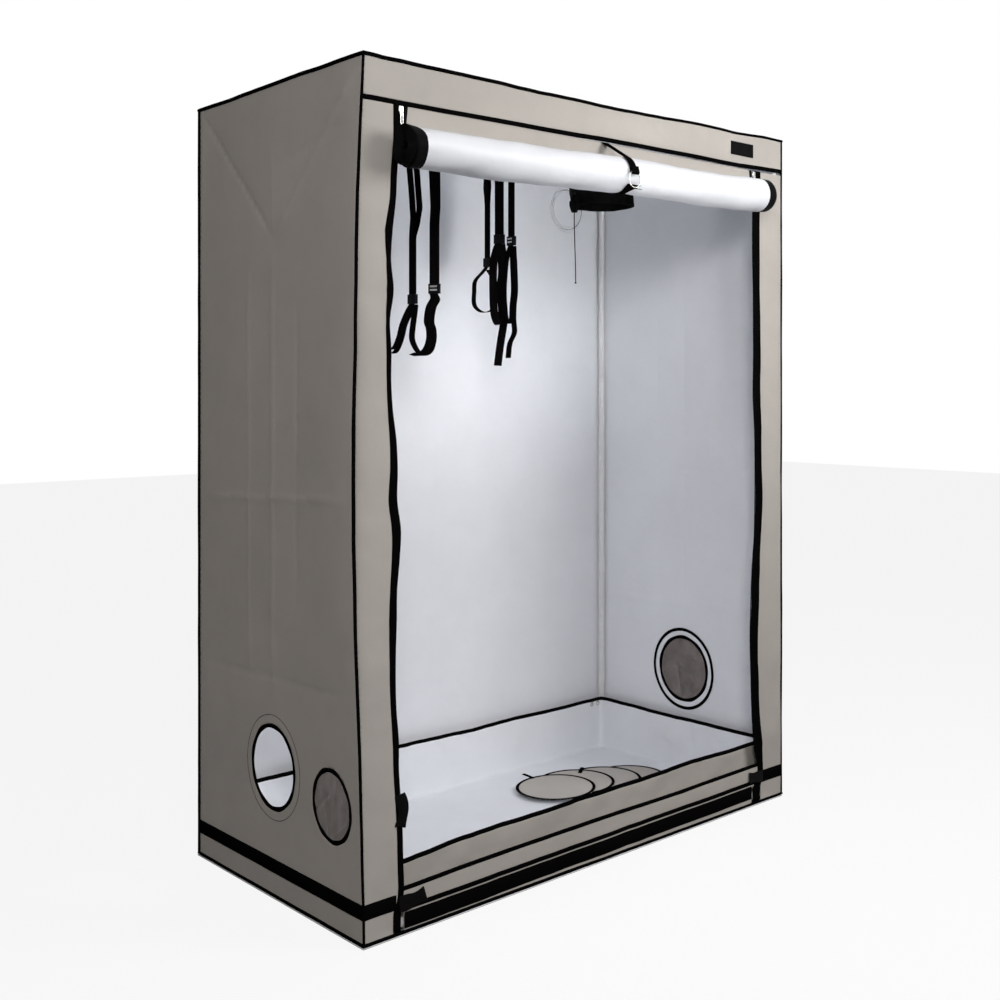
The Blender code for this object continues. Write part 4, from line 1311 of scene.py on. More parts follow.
def fresh(add: Callable[..., object], **settings: object) -> Piece:
    """Make a primitive and enter edit mode on it with nothing selected.

    Args:
        add: The operator that adds it.
        **settings: The operator's settings.

    Returns:
        The object.
    """
    only(None)
    add(**settings)
    piece = bpy.context.active_object
    start_edit(piece)
    return piece


def pick(piece: Piece, test: Callable[[Vector, Vector], bool], faces: bool = False) -> None:
    """Select the corners or the faces whose middle and normal pass a test.

    Args:
        piece: The object, in edit mode.
        test: Given the middle and the normal.
        faces: Whether faces are picked.
    """
    bpy.ops.mesh.select_mode(type="FACE" if faces else "VERT")
    work = bmesh.from_edit_mesh(piece.data)
    for part in (*work.verts, *work.edges, *work.faces):
        part.select = False
    for part in work.faces if faces else work.verts:
        if test(part.calc_center_median() if faces else part.co, part.normal):
            part.select_set(True)
    bmesh.update_edit_mesh(piece.data)


def plated_ring(piece: Piece, name: str, middle: Sequence[float]) -> None:
    """Leave edit mode on a ring that lies flat, and stand it up in its place with its finish.

    Args:
        piece: The object.
        name: Its name.
        middle: Where its middle goes.
    """
    bpy.ops.object.mode_set(mode="OBJECT")
    piece.name = piece.data.name = name
    piece.data.transform(Matrix.Translation(middle) @ Matrix.Rotation(math.pi / 2, 4, "X"))
    piece.data.materials.append(PLATED.material())
    shade(piece, 40)


def twin(master: Piece, name: str, place: Matrix) -> Piece:
    """Copy a piece with a mesh of its own, place it and shade it.

    Args:
        master: The object to copy.
        name: The copy's name.
        place: The matrix that takes its mesh to its place.

    Returns:
        The copy.
    """
    mesh = master.data.copy()
    mesh.name = name
    mesh.transform(place)
    piece = linked(name, mesh)
    rework(piece, lambda work: bmesh.ops.recalc_face_normals(work, faces=work.faces))
    shade(piece, 35)
    return piece


def framed_plate(size: Spot, corner: float, cut: float, border: float, soften: float) -> Piece:
    """A rounded plate with two holes in it, in the XY plane about the origin.

    Args:
        size: Its size.
        corner: The corners' radius.
        cut: The place along Y between the holes.
        border: The bars' width around the holes.
        soften: The bevel on its edges.

    Returns:
        The object, still at the origin.
    """
    piece = fresh(bpy.ops.mesh.primitive_plane_add, size=1.0, location=(0, 0, 0))
    bpy.ops.mesh.select_all(action="SELECT")
    bpy.ops.transform.resize(value=(size[0], size[1], 1.0))
    bpy.ops.mesh.bevel(offset=corner, segments=5, affect="VERTICES")
    bpy.ops.mesh.select_all(action="SELECT")
    bpy.ops.mesh.bisect(plane_co=(0, cut, 0), plane_no=(0, 1, 0))
    bpy.ops.mesh.select_mode(type="FACE")
    bpy.ops.mesh.select_all(action="SELECT")
    bpy.ops.mesh.inset(thickness=border, use_individual=True)
    bpy.ops.mesh.delete(type="FACE")
    bpy.ops.object.mode_set(mode="OBJECT")
    apply_modifier(piece, "SOLIDIFY", thickness=size[2], offset=0.0)
    apply_modifier(piece, "BEVEL", width=soften, segments=2, limit_method="ANGLE", angle_limit=math.radians(50))
    return piece


# Door


def tangent_turn(start: Flat, centre: Flat, radius: float, side: int) -> float:
    """The turn at which a line from a point touches a circle."""
    across, up = start[0] - centre[0], start[1] - centre[1]
    return math.atan2(up, across) + side * math.acos(radius / math.hypot(across, up))


@dataclass
class DoorRoll:
    """The door, hung from the header and wound up in front of it, white side out."""

    left: float = -0.639
    right: float = 0.609
    end_left: float = 0.040
    end_right: float = -0.012
    radius: float = 0.048
    standoff: float = 0.0115
    drop: float = 0.188
    pitch: float = 0.004
    turns: int = 9
    steps: int = 28
    fall: int = 12
    columns: int = 124
    tape: float = 0.030
    hem: float = 0.012
    slope: Flat = (-0.014, 0.009)
    top: Flat = (-WALL_Y, DOOR_TOP)

    @property
    def axis(self) -> Flat:
        """The roll's middle in Y and Z."""
        return (-WALL_Y - self.standoff - self.radius, TOP - self.drop)

    def lean(self, x: np.ndarray) -> np.ndarray:
        """How far the roll hangs off its middle's height at given places across."""
        share = np.abs(x) / 0.66
        return np.where(x < 0, *self.slope) * share - 0.0045 * np.sin(np.pi * np.clip(share, 0, 1)) ** 2

    def wrinkle(self, x: np.ndarray, turn: float) -> np.ndarray:
        """How far the wound cloth stands out.

        Args:
            x: Places across.
            turn: The turn round the roll, in radians.

        Returns:
            The distances.
        """
        draw = np.random.default_rng(41)
        rise = np.zeros(len(x))
        for _ in range(22):
            around, length = draw.integers(0, 5), draw.uniform(0.05, 0.5)
            phase, twist = draw.uniform(0, 2 * math.pi), draw.choice((-1, 1))
            rise += length ** 0.5 * np.sin(around * turn * twist + 2 * math.pi * x / length + phase)
        hold = 1 - np.exp(-(x / 0.030) ** 2)
        ends = 1 + 0.5 * np.clip((np.abs(x) - 0.56) / 0.08, 0, 1)
        return (0.00075 * rise + 0.0014) * hold * ends

    def build(self) -> None:
        """Make the door."""
        centre, outer = self.axis, self.radius - CLOTH / 2
        start = tangent_turn(self.top, centre, outer, -1)
        touch = (centre[0] + outer * math.cos(start), centre[1] + outer * math.sin(start))
        low, high = self.left - self.end_left, self.right + self.end_right
        marks = (low, low + self.hem, low + self.tape, high - self.tape, high - self.hem, high)
        x = np.unique(np.concatenate([np.linspace(first, last, count) for first, last, count in
                                      zip(marks, marks[1:], (3, 4, self.columns, 4, 3))]))
        lean = self.lean(x)
        narrow = (x - low) / (high - low) * (self.right - self.left) + self.left
        rows = []
        draw = ripples(42, 0.0011, 0.35, 0.05)
        for share in np.arange(self.fall) / self.fall:
            y, z = (first + (last - first) * share for first, last in zip(self.top, touch))
            off = draw(coords(x, z)) * math.sin(math.pi * share)
            rows.append(coords(narrow + (x - narrow) * 0.5 * share, y + off, z + lean * share ** 1.5))
        for index in range(self.turns * self.steps + 1):
            turn = start - 2 * math.pi * index / self.steps
            reach = outer - self.pitch * index / self.steps
            reach = reach + self.wrinkle(x, turn) * reach / self.radius
            across = narrow + (x - narrow) * (0.5 + 0.5 * min(1.0, index / (0.5 * self.steps)))
            rows.append(coords(across, centre[0] + reach * math.cos(turn), centre[1] + reach * math.sin(turn) + lean))
        points = np.stack(rows)
        along = travel(points[:, len(x) // 2])
        shape = Shape()
        shape.grid(points, x, along, flip=True)
        middles, width = (x[:-1] + x[1:]) / 2, len(x) - 1
        hem, tape = ((middles < marks[edge]) | (middles > marks[-1 - edge]) for edge in (1, 2))
        shape.slots = [2 if (hem if number < width * (self.fall + 4) else tape)[number % width] else 0
                       for number in range(len(shape.faces))]
        piece = shape.build("door_roll_cloth", (BEIGE, FILM, BLACK_CLOTH, BLACK_CLOTH))
        apply_modifier(piece, "SOLIDIFY", thickness=CLOTH, offset=0.0, material_offset=1, material_offset_rim=1)
        dress(piece, TENT, "white_cloth", "door_cloth")


def arc(centre: Flat, radius: float, start: float, end: float, count: int) -> list[Flat]:
    """Points on an arc, from one turn to another, in radians."""
    return [(centre[0] + radius * math.cos(turn), centre[1] + radius * math.sin(turn))
            for turn in np.linspace(start, end, count)]


def webbing_up(line: np.ndarray, axis: int) -> np.ndarray:
    """The way a strap's face looks along a path, for a strap whose width lies along one axis.

    Args:
        line: The path's two coordinates, in the plane square to the width.
        axis: The axis of the width.

    Returns:
        A vector for each point.
    """
    step = unit(np.diff(np.insert(line, axis, 0.0, axis=1), axis=0))
    tangent = unit(np.vstack([step[:1], step]) + np.vstack([step, step[-1:]]))
    return unit(np.cross(np.eye(3)[axis], tangent))


@dataclass
class RollStraps:
    """The two straps that hold the rolled door, and the wire ring between them."""

    roll: DoorRoll
    ring: float = 0.021
    wire: float = 0.0015
    sewn: float = 0.014

    def strap(self, name: str, path: list[Flat]) -> None:
        """Make one strap along a path, with its sewn end.

        Args:
            name: The node that it replaces.
            path: The path in Y and Z.
        """
        last = np.array(path[-1])
        ends = unit((last - path[-2])[None])[0] * self.sewn
        line = np.array([*path, *(last + ends * share for share in (0.25, 0.5, 0.75, 1.0))])
        shape = Shape()
        sweep(shape, coords(0.0, *line.T), webbing_up(line, 0), tape_section(STRAP_WIDTH, STRAP))
        piece = black(shape, f"{name}_webbing", (WEBBING,), name)

    def build(self) -> None:
        """Make both straps and the ring."""
        centre, lie = self.roll.axis, self.roll.radius + GAP + STRAP / 2
        far = self.ring + self.wire
        near = math.sqrt((self.ring - self.wire) ** 2 - (STRAP_WIDTH / 2) ** 2)
        grip, offset = (far - near) / 2 + 0.0005 + STRAP / 2, (far + near) / 2
        beside = CLOTH / 2 + GAP + STRAP / 2
        ring_y, ring_z = centre[0] - lie - grip, centre[1] - offset
        top = (self.roll.top[0] - beside, DOOR_TOP)
        self.strap("roll_strap_upper", [top, *arc(centre, lie, tangent_turn(top, centre, lie, 1), math.pi, 18),
                                        *arc((ring_y, ring_z + offset), grip, 0.0, math.radians(-205), 13)[1:]])
        behind = (self.roll.top[0] + beside, DOOR_TOP)
        eye = (ring_y, ring_z - offset)
        away = (eye[0] - centre[0], eye[1] - centre[1])
        begin = tangent_turn(behind, centre, lie, -1)
        leave = math.atan2(away[1], away[0]) + math.acos((lie + grip) / math.hypot(*away))
        leave -= 2 * math.pi if leave > begin else 0.0
        whole = round((leave + math.pi - math.radians(275)) / (2 * math.pi))
        self.strap("roll_strap_lower", [behind, *arc(centre, lie, begin, leave, 34), *arc(
            eye, grip, leave + math.pi, math.radians(275) + 2 * math.pi * whole, 13)])
        piece = fresh(bpy.ops.mesh.primitive_torus_add, major_radius=self.ring, minor_radius=self.wire,
                      major_segments=72, minor_segments=16)
        pick(piece, lambda spot, _: spot.y > 0 and abs(spot.x) < 0.0012)
        bpy.ops.transform.shrink_fatten(value=-0.00022)
        plated_ring(piece, "roll_strap_ring", (0.0, ring_y, ring_z))
        dress(piece, "ring", "zinc", "strap_ring")


@dataclass
class ZipHardware:
    """The sliders and pull tabs of both zips."""

    width: float = 0.012
    depth: float = 0.0076
    height: float = 0.020
    z: float = 1.8897
    tab: Spot = (0.008, 0.030, 0.0016)
    pivot_y: float = -0.4008
    pivot_z: float = 1.8878
    arch: float = 0.0104
    arch_wall: float = 0.0012
    arch_rise: float = 0.0042

    def slider(self) -> Piece:
        """Make one slider about the origin: two plates round a neck, with an arch in front."""
        piece = fresh(bpy.ops.mesh.primitive_cube_add, size=1.0)
        bpy.ops.mesh.select_all(action="SELECT")
        bpy.ops.transform.resize(value=(self.width, self.depth, self.height))
        bpy.ops.mesh.bisect(plane_co=(0, 0, 0), plane_no=(0, 0, 1))
        pick(piece, lambda spot, _: spot.z < -self.height * 0.4)
        bpy.ops.transform.resize(value=(0.68, 1.0, 1.0))
        pick(piece, lambda _, normal: abs(normal.x) > 0.9, faces=True)
        bpy.ops.mesh.inset(thickness=self.depth * 0.24)
        bpy.ops.mesh.extrude_region_shrink_fatten(TRANSFORM_OT_shrink_fatten={"value": -self.width * 0.14})
        bpy.ops.object.mode_set(mode="OBJECT")
        apply_modifier(piece, "BEVEL", width=0.0007, segments=3, limit_method="ANGLE", angle_limit=math.radians(35))
        start_edit(piece)
        front, reach = -self.depth / 2, self.arch / 2 - self.arch_wall / 2
        bpy.ops.mesh.primitive_plane_add(size=1.0, location=(0, front + 0.0003, reach), rotation=(math.pi / 2, 0, 0))
        bpy.ops.transform.resize(value=(0.0024, 1.0, self.arch_wall))
        bpy.ops.mesh.spin(steps=12, angle=math.pi, center=(0, front + 0.0003, 0), axis=(1, 0, 0))
        pick(piece, lambda spot, _: spot.y < front - 0.0001)
        lowest = min(corner.co.y for corner in bmesh.from_edit_mesh(piece.data).verts)
        bpy.ops.transform.resize(value=(1.0, self.arch_rise / (front - lowest), 1.0), center_override=(0, front, 0))
        bpy.ops.object.mode_set(mode="OBJECT")
        return piece

    def build(self, zips: Sequence[ZipLine]) -> None:
        """Make both sliders and both tabs, which are flat frames with a small eye and a long window.

        Args:
            zips: The zips that they run on.
        """
        slider, tab = self.slider(), framed_plate(self.tab, 0.0026, 0.0072, 0.0016, 0.0003)
        for master in (slider, tab):
            master.data.materials.append(PLATED.material())
        for line in zips:
            spot = Matrix.Translation((line.teeth_x, -WALL_Y, self.z))
            hang = Matrix.Translation((line.teeth_x, self.pivot_y, self.pivot_z - self.tab[1] / 2))
            body = twin(slider, f"slider_{line.side}_plated", spot)
            pull = twin(tab, f"pull_tab_{line.side}_plated", hang @ Matrix.Rotation(math.pi / 2, 4, "X"))
            dress(body, f"slider_{line.side}", "zinc", f"zip_slider_{line.side}")
            dress(pull, f"tab_{line.side}", "zinc", f"pull_tab_{line.side}")
        bpy.data.objects.remove(slider)
        bpy.data.objects.remove(tab)


# Sill, tray and what lies in it


@dataclass
class Sill:
    """The strip under the door, with its webbing, its seam and its bound upper edge."""

    left: float = -0.652
    right: float = 0.640
    foot: Flat = (-0.639, 0.609)
    low: float = 0.0063
    high: float = 0.1160
    strips: tuple[Spot, ...] = ((0.0365, 0.0375, 0.0014), (0.0655, 0.0112, 0.0024), (0.1148, 0.0108, 0.0040))
    lift: tuple[Flat, ...] = ((-0.606, -0.0042), (-0.354, -0.0026), (-0.156, -0.0012), (0.06, 0.0006),
                              (0.297, 0.0022), (0.469, 0.0028), (0.615, 0.0040))
    rim: tuple[Flat, ...] = ((-0.606, -0.0088), (-0.564, -0.0070), (-0.476, -0.0050), (-0.354, -0.0028),
                             (-0.156, -0.0009), (0.06, -0.0005), (0.297, -0.0008), (0.469, 0.0014), (0.615, 0.0036))

    def panel(self) -> Panel:
        """The strip's cut."""
        across = np.linspace(self.right, self.left, 120)
        left, right = self.foot
        outline = np.vstack([[(left, self.low), (right, self.low), (right, 0.054), (self.right, 0.064)],
                             coords(across, self.high + self.sway(across, True)),
                             [(self.left, 0.064), (left, 0.054)]])
        return Panel("sill_cloth", Plane.FRONT, -WALL_Y, outline, relief=ripples(52, 0.0016, 0.30, 0.025),
                     pitch=0.0065, fade=0.016)

    def sway(self, across: np.ndarray, edge: bool) -> np.ndarray:
        """How far the bound edge, or the strips below it, stray from their height."""
        wave = ripples(51 if edge else 53, 0.0005, 0.45, 0.06)(coords(across, 0.0))
        return wave + between(across, self.rim if edge else self.lift)

    def build(self) -> None:
        """Make the cloth and the strips on it."""
        panel = self.panel()
        cloth = dress(panel.build((BEIGE, FILM)), TENT, "grey_cloth", "sill")
        shape = Shape()
        for number, (middle, width, thick) in enumerate(self.strips):
            top = number == len(self.strips) - 1
            first, last = (self.left, self.right) if number else self.foot
            across = np.linspace(first + 0.001, last - 0.001, 170)
            height = middle + self.sway(across, top)
            lift = 0.0 if top else CLOTH / 2 + thick / 2
            sweep(shape, panel.on(coords(across, height), lift), FORWARD, tape_section(width, thick),
                  slot=min(number, 1))
            for edge in () if number else (-1, 1):
                row = panel.on(coords(across, height + edge * (width / 2 - 0.003)), lift + thick / 2)
                copies(shape, stitch(*STITCH), row, FORWARD, slot=2)
        bands = black(shape, "sill_bindings", (WEBBING, BINDING, CORD))


@dataclass
class SpillTray:
    """The soft tray on the floor: white inside, beige outside, with a bound rim."""

    half: Flat = (0.7172, 0.3672)
    corner: float = 0.016
    floor: float = 0.00255
    rim: float = 0.1690
    lean: float = 0.0022
    rows: int = 18
    pitch: float = 0.0105
    front: tuple[Flat, ...] = ((-0.72, -0.016), (-0.60, -0.0148), (-0.56, -0.0130), (-0.476, -0.0068),
                               (-0.354, -0.0028), (0.06, 0.0005), (0.30, 0.0035), (0.72, 0.004))

    def loop(self) -> np.ndarray:
        """The tray's plan, with small round corners, turning left."""
        corners = []
        for way_x, way_y, start in ((1, -1, -90), (1, 1, 0), (-1, 1, 90), (-1, -1, 180)):
            middle = (way_x * (self.half[0] - self.corner), way_y * (self.half[1] - self.corner))
            corners += arc(middle, self.corner, math.radians(start), math.radians(start + 90), 5)
        return subdivided(np.array(corners), self.pitch)

    def wall(self, height: float, gone: np.ndarray, flat: np.ndarray, inward: np.ndarray) -> np.ndarray:
        """Points of the wall at one height.

        Args:
            height: The share of the wall's height, 0 to 1.
            gone: How far along the wall each point is.
            flat: The plan's points.
            inward: The way inwards at each point.

        Returns:
            The points.
        """
        line = coords(gone, height * 0.17)
        waves = ripples(61, 0.0024, 0.33, 0.03)(line) + ripples(62, 0.0012, 0.10, 0.02)(line)
        sag = 0.0030 * math.sin(math.pi * height) + 0.0006
        depth = np.clip(sag + waves * math.sin(math.pi * min(1.0, height * 0.55 + 0.05)), 0.0, 0.014)
        near = np.linalg.norm(self.half - np.abs(flat), axis=1)
        depth = depth * np.clip(near / 0.05, 0.15, 1)
        top = self.rim + ripples(63, self.lean, 0.45, 0.07)(coords(gone, 0.0))
        top = top + between(flat[:, 0], self.front) * np.clip(1 - (flat[:, 1] + self.half[1]) / 0.2, 0, 1)
        return coords(*(flat + inward * depth[:, None]).T, self.floor + (top - self.floor) * height)

    def build(self) -> None:
        """Make the tray and its bound rim."""
        flat = self.loop()
        ahead = unit(np.roll(flat, -1, 0) - np.roll(flat, 1, 0))
        inward = coords(-ahead[:, 1], ahead[:, 0])
        around = travel(flat, closed=True)
        rows = [self.wall(share, around[:-1], flat, inward) for share in np.linspace(0, 1, self.rows)]
        shape = Shape()
        shape.grid(np.vstack(rows), around, np.linspace(0, self.rim, self.rows), ring=True)
        base = Panel("tray_floor", Plane.TOP, self.floor, rows[0][:, :2], pitch=0.03)
        spots, under = base.flat_mesh()
        wave = np.abs(ripples(64, 0.0004, 0.5, 0.10)(spots))
        wave = wave * np.clip(edge_distance(spots, [base.outline]) / 0.03, 0, 1)
        under = [face[::-1] for face in under]
        shape.add(base.plane.lift(spots, self.floor + wave), under,
                  [[tuple(spots[corner]) for corner in face] for face in under])
        piece = shape.build("spill_tray_cloth", (BEIGE, FILM))
        rework(piece, lambda work: bmesh.ops.remove_doubles(work, verts=work.verts, dist=0.0002))
        apply_modifier(piece, "SOLIDIFY", thickness=CLOTH, offset=0.0, material_offset=1)
        dress(piece, TENT, "white_cloth", "spill_tray")
        shape = Shape()
        sweep(shape, rows[-1] + (0, 0, 0.001), coords(*-inward.T, 0.0), tape_section(0.0115, 0.0042), closed=True)
        rim = black(shape, "tray_rim_binding", (BINDING,))


@dataclass
class VentCovers:
    """Round port covers in a pile on the tray's floor, each with a bound edge and a pull tab."""

    places: tuple[Flat, ...] = ((0.2815, 0.1157), (0.3670, 0.1180), (0.4570, 0.0880), (0.5336, 0.0480))
    turns: tuple[float, ...] = (89.0, 38.0, -100.0, -100.0)
    tucked: tuple[float, ...] = (0.008, 0.034, 0.008, 0.008)
    radius: float = 0.1185
    edge: float = 0.0100
    thick: float = 0.0032
    cloth: float = 0.0014
    low: float = 0.0051
    pitch: float = 0.0033
    tab: Flat = (0.012, 0.048)

    def build(self) -> None:
        """Make every cover."""
        for index, (middle, toward, tucked) in enumerate(zip(self.places, self.turns, self.tucked)):
            name, body = f"vent_cover_{index + 1}", f"cover_{index + 1}"
            level = self.low + (len(self.places) - 1 - index) * self.pitch
            panel = Panel(f"{name}_cloth", Plane.TOP, level, flat_circle(middle, self.radius + self.edge / 2),
                          pitch=0.009, relief=ripples(71 + index, 0.00022, 0.12, 0.03), fade=0.02, thick=self.cloth)
            cloth = dress(panel.build((BEIGE, FILM), turn=20.0 * index), body, "grey_cloth", name)
            shape = Shape()
            ring = coords(*flat_circle(middle, self.radius + 0.005 - self.edge / 2, 96).T, level)
            sweep(shape, ring, UP, tape_section(self.edge, self.thick), closed=True)
            reach = np.linspace(self.radius - tucked, self.radius + self.tab[1] - tucked, 9)
            rise = np.linspace(0, 0.0055, 9) ** 1.2 + 0.0008 * np.sin(np.linspace(0, math.pi, 9)) + 0.0022
            way = math.radians(toward)
            line = coords(middle[0] + reach * math.cos(way), middle[1] + reach * math.sin(way), level + rise)
            sweep(shape, line, UP, tape_section(self.tab[0], 0.0022))
            seam = flat_circle(middle, self.radius - self.edge * 0.62, 96)
            copies(shape, stitch(*STITCH), coords(*seam.T, level + self.cloth / 2 + 0.0002), UP, 0.0045, closed=True)
            trim = black(shape, f"{name}_binding", (BINDING, THREAD), body=body)


# Ports and sleeve


def wavy(centre: Flat, radius: float, seed: int, lean: float, count: int = 96) -> np.ndarray:
    """A circle that isn't quite round.

    Args:
        centre: Its middle.
        radius: Its radius.
        seed: The seed of its waves.
        lean: How far it strays.
        count: How many points it has.

    Returns:
        Its points in the plane.
    """
    draw = np.random.default_rng(seed)
    stray = sum(draw.uniform(0.4, 1.0) / order ** 0.6 * np.sin(order * turns_of(count) + draw.uniform(0, 6.28))
                for order in (2, 3, 5, 7, 9, 11))
    return flat_circle(centre, radius + lean * stray / 2, count)


@dataclass
class Ports:
    """The bound rims, nets, hook rings and stitched rings of the cover's ports."""

    cover: CoverCloth
    rim: float = 0.011
    rim_thick: float = 0.0042
    hook_radius: float = 0.1285
    hook_width: float = 0.010
    hook_cut: float = 0.0125
    stitch_radius: float = 0.128

    def bound_rim(self, name: str, panel: Panel, centre: Flat, radius: float, seed: int, lean: float,
                  *nodes: str) -> Piece:
        """Make a bound rim.

        Args:
            name: The piece's name.
            panel: The panel that it is sewn to.
            centre: The port's middle.
            radius: The rim's outer radius.
            seed: The seed of its waves.
            lean: How far it strays.
            *nodes: The nodes that it replaces.

        Returns:
            Its object.
        """
        shape = Shape()
        line = panel.on(wavy(centre, radius - self.rim / 2, seed, lean))
        sweep(shape, line, panel.plane.out, tape_section(self.rim, self.rim_thick, 0.8), closed=True,
              sizes=1 + 0.10 * np.sin(turns_of(len(line)) * 9 + seed))
        return black(shape, name, (BINDING,), *nodes)

    def net(self, name: str, panel: Panel, centre: Flat, radius: float, seed: int) -> None:
        """Make a rim with a net across it.

        Args:
            name: The node that it replaces.
            panel: The panel that it is sewn to.
            centre: The port's middle.
            radius: The rim's outer radius.
            seed: The seed of its waves.
        """
        hole = radius - self.rim / 2
        y, z = centre
        folds = (((y - hole, z - 0.02), (y + 0.01, z - hole), 0.0040),
                 ((y + 0.005, z + 0.03), (y + hole, z - 0.03), -0.0034),
                 ((y + 0.01, z - hole), (y + 0.03, z + 0.02), 0.0034),
                 ((y - 0.03, z + hole), (y - 0.01, z), 0.0022))
        waves = total(ripples(seed, 0.0016, 0.12, 0.02), *(crease(*fold, 0.006) for fold in folds))
        sheet = Panel(f"{name}_net", panel.plane, panel.level, flat_circle(centre, hole), relief=waves,
                      pitch=0.004, fade=0.012, thick=0.0006)
        cloth = dress(sheet.build((NET,)), TENT, "mesh", name)
        trim = self.bound_rim(f"{name}_rim", panel, centre, radius, seed + 1, 0.0014)

    def side_rings(self, panel: Panel, side: str, centre: Flat) -> None:
        """Make the hook ring inside a side wall's duct port and the seam that shows outside.

        Args:
            panel: The wall.
            side: The name's ending.
            centre: The port's middle.
        """
        shape = Shape()
        inner = panel.on(wavy(centre, self.hook_radius, 83, 0.0012), -(CLOTH / 2 + 0.0013))
        sweep(shape, inner, panel.plane.out, tape_section(self.hook_width, 0.0016), closed=True)
        seam = panel.on(wavy(centre, self.stitch_radius, 84, 0.0010, 180), CLOTH / 2 + 0.0001)
        copies(shape, stitch(0.0042, 0.0016), seam, panel.plane.out, 0.0044, closed=True)
        ring = black(shape, f"hook_ring_{side}_tape", (WEBBING, CORD), f"hook_ring_{side}")

    def build(self) -> None:
        """Make every port's pieces."""
        cover, rear = self.cover, self.cover.rear
        self.bound_rim("duct_port_binding", cover.left, cover.port, 0.107, 81, 0.0010, "duct_port_rim")
        self.net("vent_left", cover.left, cover.vent, 0.088, 85)
        self.net("vent_right", cover.right, cover.right_port, 0.1085, 87)
        self.side_rings(cover.left, "left", cover.port)
        self.side_rings(cover.right, "right", cover.right_port)
        flap = Panel("back_port_flap", Plane.BACK, rear.level, flat_circle(cover.back_port, cover.back_port_radius),
                     relief=ripples(89, 0.0014, 0.12, 0.025), pitch=0.006, fade=0.015)
        cloth = dress(flap.build((BEIGE, FILM)), TENT, "grey_cloth", "back_port_cover")
        shape = Shape()
        for radius, seed, lean, lift, width, thick, slot in ((0.0705, 90, 0.0008, 0.0008, self.rim, 0.0036, 0),
                                                             (0.0715, 91, 0.0010, -0.0022, 0.006, 0.0026, 1),
                                                             (0.060, 92, 0.0010, -0.0022, 0.006, 0.0026, 1)):
            sweep(shape, rear.on(wavy(cover.back_port, radius, seed, lean), lift), rear.plane.out,
                  tape_section(width, thick, 0.8), closed=True, slot=slot)
        rings = black(shape, "back_port_rings", (BINDING, FILM))


